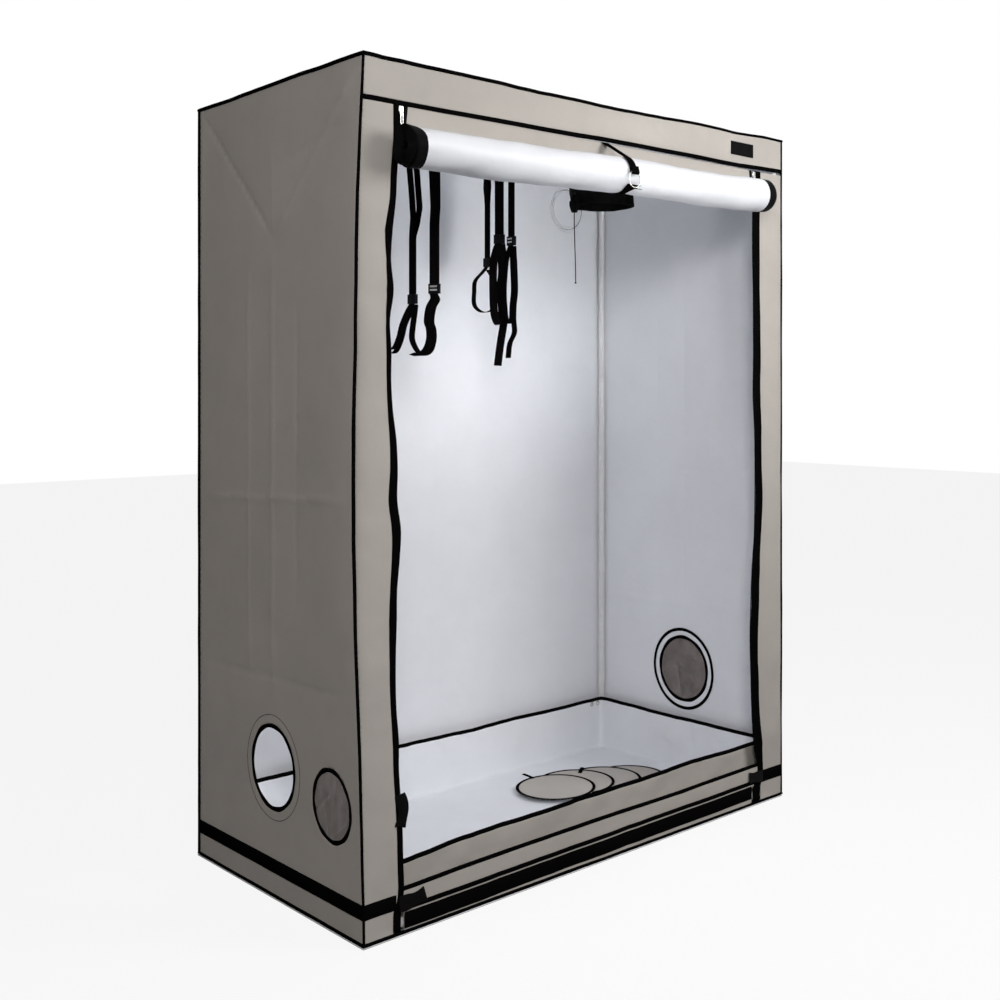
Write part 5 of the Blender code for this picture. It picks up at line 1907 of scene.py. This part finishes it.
@dataclass
class RoofSleeve:
    """The duct sleeve that hangs from the roof, its tie, its drawcord and the cord's knot."""

    middle: Flat = (0.450, 0.090)
    radius: float = 0.0995
    length: float = 0.170
    sides: int = 120
    tie: Flat = (0.3357, 0.090)
    tie_radius: float = 0.0165
    tie_low: float = 1.7980
    tie_high: float = 1.8530
    cord_exit: Spot = (0.3357, 0.090, 1.7977)
    cord_length: float = 0.215
    cord_diameter: float = 0.003
    drift: float = 0.006
    knot: float = 0.007

    def cord(self) -> None:
        x, y, z = self.cord_exit
        line = [(x + self.drift * (1 - math.cos(math.pi * share)) / 2, y, z - self.cord_length * share)
                for share in np.linspace(0, 1, 31)]
        curve = bpy.data.curves.new("drawcord", "CURVE")
        curve.dimensions = "3D"
        curve.bevel_depth = self.cord_diameter / 2
        curve.bevel_resolution = 3
        curve.use_fill_caps = True
        spline = curve.splines.new("POLY")
        spline.points.add(len(line) - 1)
        for point, spot in zip(spline.points, line):
            point.co = (*spot, 1.0)
        curve.materials.append(CORD.material())
        piece = linked("drawcord", curve)
        knot = self.knot_piece(line[-1])
        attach(piece, TENT)
        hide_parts("sleeve_drawcord")

    def knot_piece(self, end: Sequence[float]) -> Piece:
        """Make the knot under the cord's end: three turns of the cord drawn into a ball.

        Args:
            end: The cord's end.

        Returns:
            Its object.
        """
        turns, size = turns_of(60), self.knot * 0.30
        line = coords(end[0] + size * (np.sin(turns) + 0.75 * np.sin(2 * turns)) * 0.62,
                      end[1] + size * (np.cos(turns) - 0.75 * np.cos(2 * turns)) * 0.62,
                      end[2] - self.knot * 0.5 - size * 0.72 * np.sin(3 * turns))
        shape = Shape()
        sweep(shape, line, (0.3, 0.2, 1.0), round_section(self.cord_diameter * 0.38, 8), closed=True)
        return black(shape, "drawcord_end_knot", (CORD,), "drawcord_knot")

    def build(self) -> None:
        """Make the sleeve and its tie."""
        turns = turns_of(self.sides)
        crumple = ripples(94, 0.0052, 0.14, 0.025, count=30)
        heights = np.linspace(0, 1, 26)
        rows = []
        for share in heights:
            fold = 0.035 * share * (np.cos(9 * turns) + 1) / 2 + 0.02 * share * np.cos(4 * turns + 1.1)
            sag, closed = (crumple(coords((turns - back) * self.radius, share * self.length))
                           for back in (0, 2 * math.pi))
            mix = turns / (2 * math.pi)
            reach = self.radius * (1 - fold) + (sag * (1 - mix) + closed * mix) * min(1.0, share * 4)
            rows.append(coords(*flat_circle(self.middle, reach, self.sides).T, ROOF_Z - share * self.length))
        shape = Shape()
        shape.grid(np.vstack(rows), np.linspace(0, 2 * math.pi * self.radius, self.sides + 1),
                   heights * self.length, ring=True, flip=True)
        sleeve = shape.build("roof_sleeve_cloth", (BLACK_CLOTH,))
        apply_modifier(sleeve, "SOLIDIFY", thickness=0.0012, offset=0.0)
        dress(sleeve, TENT, "black_webbing", "roof_sleeve")
        self.tie_piece()

    def tie_piece(self) -> None:
        """Make the gathered tie."""
        turns, levels, rows = turns_of(40), np.linspace(0, 1, 22), []
        for share in levels:
            swell = 0.35 + 0.65 * math.sin(math.pi * (0.12 + 0.76 * share))
            pinch = 1 - 0.30 * math.exp(-((share - 0.72) / 0.06) ** 2)
            pleats = 1 + 0.16 * np.cos(7 * turns + 3 * share) + 0.05 * np.cos(13 * turns)
            reach = self.tie_radius * 0.80 * swell * pinch * pleats
            rows.append(coords(*flat_circle(self.tie, reach, 40).T,
                               self.tie_low + (self.tie_high - self.tie_low) * share))
        shape = Shape()
        shape.grid(np.vstack(rows), np.linspace(0, 0.08, 41), levels * 0.055, ring=True)
        shape.caps(np.zeros(40), (0.0, 0.0))
        black(shape, "sleeve_tie_cloth", (BLACK_CLOTH,), "sleeve_tie")


# Hangers


@dataclass
class Hangers:
    """The webbing hangers on the crossbars and the slide buckles on them."""

    bars: tuple[float, ...] = (-0.30, -0.30, 0.0, 0.0, 0.0)
    depths: tuple[float, ...] = (0.05, -0.05, 0.10, 0.045, -0.01)
    buckles: tuple[float, ...] = (1.49566, 1.51885, 1.61995, 1.68371, 1.67405)
    twists: tuple[float, ...] = (4.0, 27.0, -9.0, 25.0, -3.0)
    # Which way each buckle faces: the plated bars that stand in for highlights face the camera on buckles 2 and 5
    fronts: tuple[float, ...] = (270.0, 90.0, 270.0, 270.0, 90.0)
    rights: tuple[tuple[Flat, ...], ...] = (
        ((1.665, 0.0), (1.70, 0.012), (1.747, 0.021), (1.855, 0.011), (1.93, 0.0)),
        ((1.69, 0.0), (1.74, 0.004), (1.83, 0.003), (1.93, 0.0)),
        ((1.79, 0.0), (1.84, 0.004), (1.93, 0.0)), ((1.93, 0.0),), ((1.93, 0.0),))
    lefts: tuple[tuple[Flat, ...], ...] = (
        ((1.665, 0.0), (1.72, 0.004), (1.787, -0.001), (1.852, -0.008), (1.93, 0.0)),
        ((1.69, 0.0), (1.74, 0.003), (1.83, -0.002), (1.93, 0.0)),
        ((1.79, 0.0), (1.84, -0.005), (1.93, 0.0)), ((1.93, 0.0),), ((1.93, 0.0),))
    loops: tuple[tuple[Flat, ...], ...] = (
        ((-0.316, 1.462), (-0.334, 1.425), (-0.343, 1.394), (-0.356, 1.366), (-0.371, 1.357), (-0.388, 1.362),
         (-0.401, 1.37), (-0.404, 1.36), (-0.392, 1.35), (-0.374, 1.346), (-0.357, 1.35), (-0.345, 1.368),
         (-0.335, 1.394), (-0.326, 1.425), (-0.308, 1.458)),
        ((-0.3, 1.4935), (-0.3147, 1.4687), (-0.3212, 1.4321), (-0.3147, 1.4126), (-0.3131, 1.3872),
         (-0.3212, 1.3628), (-0.3355, 1.349), (-0.3552, 1.3449), (-0.3592, 1.3414), (-0.3482, 1.3389),
         (-0.3285, 1.343), (-0.3142, 1.3568), (-0.3061, 1.3852), (-0.3077, 1.4106), (-0.3142, 1.4301),
         (-0.3077, 1.4667), (-0.2955, 1.487)),
        ((-0.018, 1.59), (-0.045, 1.563), (-0.049, 1.53), (-0.05, 1.5), (-0.041, 1.484), (-0.02, 1.474),
         (0.004, 1.476), (0.021, 1.487), (0.03, 1.515), (0.031, 1.545), (0.02, 1.575)),
        ((-0.012, 1.65), (-0.021, 1.615), (-0.023, 1.55), (-0.019, 1.47), (-0.004, 1.437), (0.01, 1.448),
         (0.01, 1.48), (0.004, 1.538), (0.01, 1.59), (0.006, 1.64)),
        ((-0.011, 1.64), (-0.02, 1.61), (-0.027, 1.53), (-0.022, 1.46), (-0.01, 1.437), (0.001, 1.452),
         (0.003, 1.49), (0.008, 1.535), (0.005, 1.61)))
    tails: tuple[tuple[Flat, ...], ...] = (
        ((-0.2935, 1.4581), (-0.2988, 1.4251), (-0.3021, 1.3894), (-0.2922, 1.365), (-0.2755, 1.3474),
         (-0.2554, 1.3436)),
        (), (),
        ((0.0128, 1.64), (0.0168, 1.59), (0.0108, 1.538), (0.0168, 1.48), (0.017, 1.445), (0.004, 1.38),
         (-0.006, 1.3166)),
        ((0.0118, 1.61), (0.0148, 1.535), (0.0098, 1.49), (0.008, 1.45), (0.011, 1.412), (-0.006, 1.379),
         (-0.012, 1.3379)))
    bar: float = 0.008
    strands: float = 0.0022
    neck: float = 0.008
    tail_out: float = 0.0085
    buckle: Spot = (0.011, 0.034, 0.026)

    def path(self, index: int) -> np.ndarray:
        """A hanger's path in X and Z, from its buckle over the bar and round its loop.

        Args:
            index: Which hanger.

        Returns:
            The path's points.
        """
        place = self.bars[index]
        over = self.bar + GAP + STRAP / 2
        neck = self.buckles[index] - self.buckle[2] / 2 - GAP
        rise = np.linspace(neck, RAIL_Z - 4 * self.bar, 48)
        right = coords(place + self.strands + between(rise, self.rights[index]), rise)
        left = coords(place - self.strands + between(rise, self.lefts[index]), rise)[::-1]
        turns = np.radians(np.arange(-15, 196, 12))
        round_bar = coords(place + over * np.cos(turns), RAIL_Z + over * np.sin(turns))
        start = (place + self.strands, neck - self.neck)
        parts = [right, round_bar, left, smooth_line([(left[-1, 0], neck), *self.loops[index], start], 0.004)[1:]]
        if self.tails[index]:
            fold = (self.tail_out - self.strands) / 2
            turns = np.radians(np.arange(180, -1, -30))
            parts.append(coords(start[0] + fold + fold * np.cos(turns), start[1] + fold + fold * np.sin(turns)))
            parts.append(smooth_line([(place + self.tail_out, start[1] + fold - 0.002), *self.tails[index]], 0.006))
        return np.vstack(parts)

    def turned(self, index: int, flat: np.ndarray) -> np.ndarray:
        """The way a hanger's face looks along its path, turned about its length below the bar.

        Args:
            index: Which hanger.
            flat: Its path.

        Returns:
            A vector for each point.
        """
        up = -webbing_up(flat, 1)
        turn = math.radians(self.twists[index]) * np.clip((1.93 - flat[:, 1]) / 0.07, 0, 1)
        return coords(up[:, 0] * np.cos(turn), up[:, 0] * np.sin(turn), up[:, 2])

    def buckle_piece(self) -> Piece:
        """Make one slide buckle about the origin: a ribbed frame with a bar between two slots, and two bright plated
        bars on its front that are a painted highlight.
        """
        deep, wide, high = self.buckle
        piece = framed_plate((wide, deep, high), 0.0022, 0.0, 0.0014, 0.0005)
        start_edit(piece)
        for level in (-0.30, 0.30):
            bpy.ops.mesh.select_all(action="SELECT")
            bpy.ops.mesh.bisect(plane_co=(0, 0, level * high), plane_no=(0, 0, 1))
        pick(piece, lambda spot, _: abs(spot.z) < 0.31 * high and abs(spot.x) > wide * 0.46)
        bpy.ops.transform.resize(value=(0.93, 1.0, 1.0))
        # Painted highlight: two bright plated bars on the buckle's front stand in for the light that catches its bars
        for level in (0.0060, -0.0034):
            bpy.ops.mesh.primitive_cube_add(size=1.0, location=(0, deep / 2, level), scale=(0.021, 0.0016, 0.0046))
        bpy.ops.object.mode_set(mode="OBJECT")
        for finish in (MOULDED, PLATED):
            piece.data.materials.append(finish.material())
        for face in piece.data.polygons:
            face.material_index = int(face.center.y > deep / 2 + 0.0004)
        return piece

    def build(self) -> None:
        """Make every hanger and its buckle."""
        master = self.buckle_piece()
        for index, (place, y) in enumerate(zip(self.bars, self.depths)):
            number = index + 1
            flat = self.path(index)
            shape = Shape()
            sweep(shape, coords(flat[:, 0], y, flat[:, 1]), self.turned(index, flat),
                  tape_section(STRAP_WIDTH, STRAP))
            strap = black(shape, f"hanger_{number}_webbing", (WEBBING,), f"hanger_strap_{number}",
                          body=f"strap_{number}")
            turn = math.radians(self.fronts[index] + self.twists[index])
            spot = Matrix.Translation((place, y, self.buckles[index])) @ Matrix.Rotation(turn, 4, "Z")
            dress(twin(master, f"buckle_{number}_moulded", spot), f"buckle_{number}", "buckle_plastic",
                  f"strap_buckle_{number}")
        bpy.data.objects.remove(master)


# Small trims


@dataclass
class SmallTrims:
    """The bare label place, the loose cloth tabs at the sill and the eyelets in the tray's rim."""

    label_low: Flat = (0.512, 1.940)
    label_high: Flat = (0.614, 1.979)
    eyelets: tuple[Flat, ...] = ((0.668, 0.157), (0.696, 0.157))
    tabs: tuple[tuple[str, Sequence[Sequence[float]], float, Sequence[float]], ...] = (
        ("sill_tab_left", ((-0.654, -0.3995, 0.0735), (-0.625, -0.4008, 0.0745), (-0.600, -0.4020, 0.0775),
                           (-0.583, -0.4032, 0.0815)), 0.033, (-0.1, -1, 0.1)),
        ("sill_tab_right", ((0.657, -0.4000, 0.0825), (0.630, -0.4010, 0.0845), (0.608, -0.4020, 0.0870),
                            (0.592, -0.4028, 0.0885)), 0.031, (0.1, -1, 0.1)),
        ("zip_tab_left", ((-0.652, -0.3990, 0.325), (-0.643, -0.4010, 0.287), (-0.651, -0.3990, 0.250)), 0.026,
         (-0.2, -1, 0.0)))

    def label(self, header: Panel) -> None:
        """Make the bare patch on the header, with its seam.

        Args:
            header: The header's panel.
        """
        outline = rectangle(self.label_low, self.label_high)
        patch = Panel("label_patch_cloth", Plane.FRONT, header.level - 0.0032, outline,
                      relief=ripples(101, 0.0004, 0.06, 0.02), pitch=0.006, fade=0.01, thick=0.0008)
        piece = dress(patch.build((BLACK_CLOTH,)), TENT, "black_webbing")
        border = subdivided(rectangle(tuple(outline[0] + 0.003), tuple(outline[2] - 0.003)), 0.003)
        shape = Shape()
        copies(shape, stitch(0.0028, 0.0005), header.plane.lift(border, header.level - 0.0018), FORWARD, 0.004,
               slot=0, closed=True)
        seam = black(shape, "label_patch_seam", (CORD,))

    def build(self, header: Panel) -> None:
        """Make every trim.

        Args:
            header: The header's panel.
        """
        self.label(header)
        for name, line, width, across in self.tabs:
            path = smooth_line(line, 0.004)
            shape = Shape()
            sweep(shape, path, across, tape_section(width, 0.0018),
                  sizes=1 + 0.12 * np.sin(np.linspace(0, 7, len(path))))
            black(shape, name, (BLACK_CLOTH,))
        for number, (x, z) in enumerate(self.eyelets, 1):
            piece = fresh(bpy.ops.mesh.primitive_torus_add, major_radius=0.0052, minor_radius=0.0016,
                          major_segments=36, minor_segments=12)
            pick(piece, lambda spot, _: math.hypot(spot.x, spot.y) > 0.0052)
            bpy.ops.transform.resize(value=(1.14, 1.14, 0.55), center_override=(0, 0, 0))
            plated_ring(piece, f"tray_eyelet_{number}", (x, 0.3625, z))
            dress(piece, TENT, "zinc")


def coat_tubes(nodes: dict[str, Piece]) -> None:
    """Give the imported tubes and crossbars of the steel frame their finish.

    Args:
        nodes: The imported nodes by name.
    """
    for name, node in nodes.items():
        if name.startswith(("post_", "rail_", "crossbar_")):
            for slot in node.material_slots:
                slot.material = POWDER_COAT.material()
            log.info("%s: powder coat", name)


# Studio


@dataclass
class Studio:
    """The floor, the light and the camera."""

    place: Spot = (-2.308, -2.798, 1.263)
    yaw: float = 44.65
    lens: float = 45.216
    shift: Flat = (-0.122, -0.1158)
    sky: float = 0.168
    reach: float = 14.0
    lamps: tuple[tuple[str, Spot, Spot, float, float, float], ...] = (
        ("key_lamp", (1.0, -2.3, 2.35), (0.0, -0.2, 1.3), 40.0, 1.2, 180.0),
        ("fill_lamp", (-2.5, -3.5, 2.5), (0.0, 0.0, 1.3), 62.0, 0.9, 180.0),
        ("low_lamp", (-0.35, -2.1, 0.22), (0.30, 0.4, 1.80), 1.5, 0.4, 34.0))

    def camera(self) -> None:
        """Make the camera."""
        data = bpy.data.cameras.new("photo_camera")
        data.sensor_width = 36.0
        data.lens = self.lens
        data.shift_x, data.shift_y = self.shift
        data.clip_end = 60.0
        camera = linked("photo_camera", data)
        camera.location = self.place
        camera.rotation_euler = (math.pi / 2, 0.0, -math.radians(self.yaw))
        bpy.context.scene.camera = camera

    def lamp(self, name: str, place: Spot, aim: Spot, power: float, size: float, spread: float) -> None:
        """Add a soft square lamp.

        Args:
            name: Its name.
            place: Its place.
            aim: Where it points.
            power: Its power.
            size: Its edge length.
            spread: How wide its beam is, in degrees.
        """
        data = bpy.data.lights.new(name, "AREA")
        data.energy, data.size, data.spread = power, size, math.radians(spread)
        lamp = linked(name, data)
        lamp.location = place
        lamp.rotation_euler = (Vector(aim) - Vector(place)).to_track_quat("-Z", "Y").to_euler()

    def world(self) -> None:
        """Make the surroundings: white where they are seen, and dimmer where they light the tent."""
        world = bpy.data.worlds.new("studio")
        bpy.context.scene.world = world
        world.use_nodes = True
        world.node_tree.nodes.clear()
        wires = Wiring(world.node_tree)
        light = wires.add("ShaderNodeBackground", {"Color": (1.0, 0.915, 0.89, 1.0), "Strength": self.sky})
        white = wires.add("ShaderNodeBackground", {"Color": rgba((1.0, 1.0, 1.0)), "Strength": 1.0})
        mix = wires.add("ShaderNodeMixShader", {0: wires.seen(), 1: light.outputs[0], 2: white.outputs[0]})
        wires.add("ShaderNodeOutputWorld", {0: mix.outputs[0]})

    def floor(self) -> None:
        """Make the pale floor, white where it is seen and no shadow falls."""
        mesh = bpy.data.meshes.new("studio_floor")
        corners = coords(*rectangle((-self.reach, -self.reach), (self.reach, self.reach)).T, -0.0006)
        mesh.from_pydata(corners.tolist(), [], [(0, 1, 2, 3)])
        material = bpy.data.materials.new("pale_floor")
        material.use_nodes = True
        material.node_tree.nodes.clear()
        wires = Wiring(material.node_tree)
        seen = wires.seen()
        tone = wires.blend(seen, rgba((0.15, 0.15, 0.15)), rgba((0.97, 0.97, 0.97)))
        matt = wires.add("ShaderNodeBsdfDiffuse", {"Color": tone})
        glow = wires.add("ShaderNodeEmission", {"Color": rgba((1.0, 1.0, 1.0)), "Strength": 1.0})
        share = wires.sum("MULTIPLY", seen, 0.88)
        mix = wires.add("ShaderNodeMixShader", {0: share, 1: matt.outputs[0], 2: glow.outputs[0]})
        wires.add("ShaderNodeOutputMaterial", {0: mix.outputs[0]})
        mesh.materials.append(material)
        linked("studio_floor", mesh)

    def build(self) -> None:
        """Make the lamps, the surroundings and the floor."""
        for lamp in self.lamps:
            self.lamp(*lamp)
        self.world()
        self.floor()
        bpy.context.scene.view_settings.view_transform = "Standard"


LEFT_ZIP = ((0, 1.9027), (-0.0005, 1.87), (-0.0018, 1.82), (-0.0095, 1.752), (-0.0136, 1.683), (-0.0223, 1.614),
            (-0.0266, 1.546), (-0.0193, 1.477), (-0.0296, 1.409), (-0.0255, 1.34), (-0.0261, 1.271),
            (-0.0215, 1.203), (-0.0117, 1.134), (-0.0084, 1.066), (-0.0095, 0.997), (0.0005, 0.929),
            (-0.0032, 0.86), (-0.01, 0.791), (-0.0109, 0.723), (-0.0133, 0.654), (-0.0139, 0.586),
            (-0.0117, 0.517), (-0.0054, 0.448), (-0.0051, 0.38), (0, 0.311), (0.0047, 0.243), (0.0066, 0.174),
            (0.009, 0.106), (0.004, 0.070), (0, 0.055), (0, 0.0111))
RIGHT_ZIP = ((0, 1.9027), (-0.0005, 1.87), (-0.0034, 1.755), (-0.0034, 1.65), (-0.0001, 1.545), (0.0009, 1.439),
             (0.0009, 1.334), (-0.0005, 1.229), (0.006, 1.124), (0.0084, 1.019), (0.0075, 0.913), (0.0042, 0.808),
             (-0.0062, 0.703), (-0.0118, 0.598), (-0.0146, 0.493), (-0.0108, 0.387), (-0.0066, 0.282),
             (0.0042, 0.177), (0.018, 0.125),
             (0.019, 0.085), (0.003, 0.060), (0, 0.052), (0, 0.0111))
LEFT_TAPE = ((1.9027, 0.02), (1.752, 0.0171), (1.683, 0.016), (1.614, 0.02), (1.546, 0.0115), (1.477, 0.018),
             (1.409, 0.0095), (1.34, 0.0138), (1.271, 0.0115), (1.203, 0.013), (1.134, 0.0184), (1.066, 0.0207),
             (0.997, 0.0232), (0.929, 0.0245), (0.86, 0.0213), (0.791, 0.0183), (0.723, 0.02), (0.654, 0.0168),
             (0.517, 0.0147), (0.448, 0.0166), (0.38, 0.0142),
             (0.075, 0.0158), (0.055, 0.02), (0.0111, 0.02))
RIGHT_TAPE = ((1.9027, 0.033), (1.65, 0.032), (1.545, 0.03), (1.439, 0.0321), (1.229, 0.0345), (1.019, 0.0305),
              (0.913, 0.0345), (0.808, 0.031), (0.703, 0.036), (0.387, 0.0357), (0.177, 0.037), (0.125, 0.026),
              (0.085, 0.025), (0.052, 0.034), (0.0111, 0.034))


def main() -> None:
    """Build the tent around its frame."""
    logging.basicConfig(level=logging.INFO, format="%(name)s %(message)s", stream=sys.stdout)
    for leftover in list(bpy.data.objects):
        bpy.data.objects.remove(leftover)
    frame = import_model()
    studio = Studio()
    studio.camera()
    sleeve = RoofSleeve()
    sleeve.cord()
    cover = CoverCloth()
    cover.build()
    EdgePiping().build()
    zips = [ZipLine("left", -1, -0.648, LEFT_ZIP, LEFT_TAPE), ZipLine("right", 1, 0.618, RIGHT_ZIP, RIGHT_TAPE)]
    for line in zips:
        line.build()
    BaseBand().build(cover, [line.flank for line in zips])
    Sill().build()
    roll = DoorRoll()
    roll.build()
    RollStraps(roll).build()
    ZipHardware().build(zips)
    Ports(cover).build()
    sleeve.build()
    SpillTray().build()
    VentCovers().build()
    Hangers().build()
    SmallTrims().build(cover.header)
    coat_tubes(frame["nodes"])
    for name in FOLLOWERS:
        settle(bpy.data.objects[name])
    studio.build()


if __name__ == "__main__":
    main()
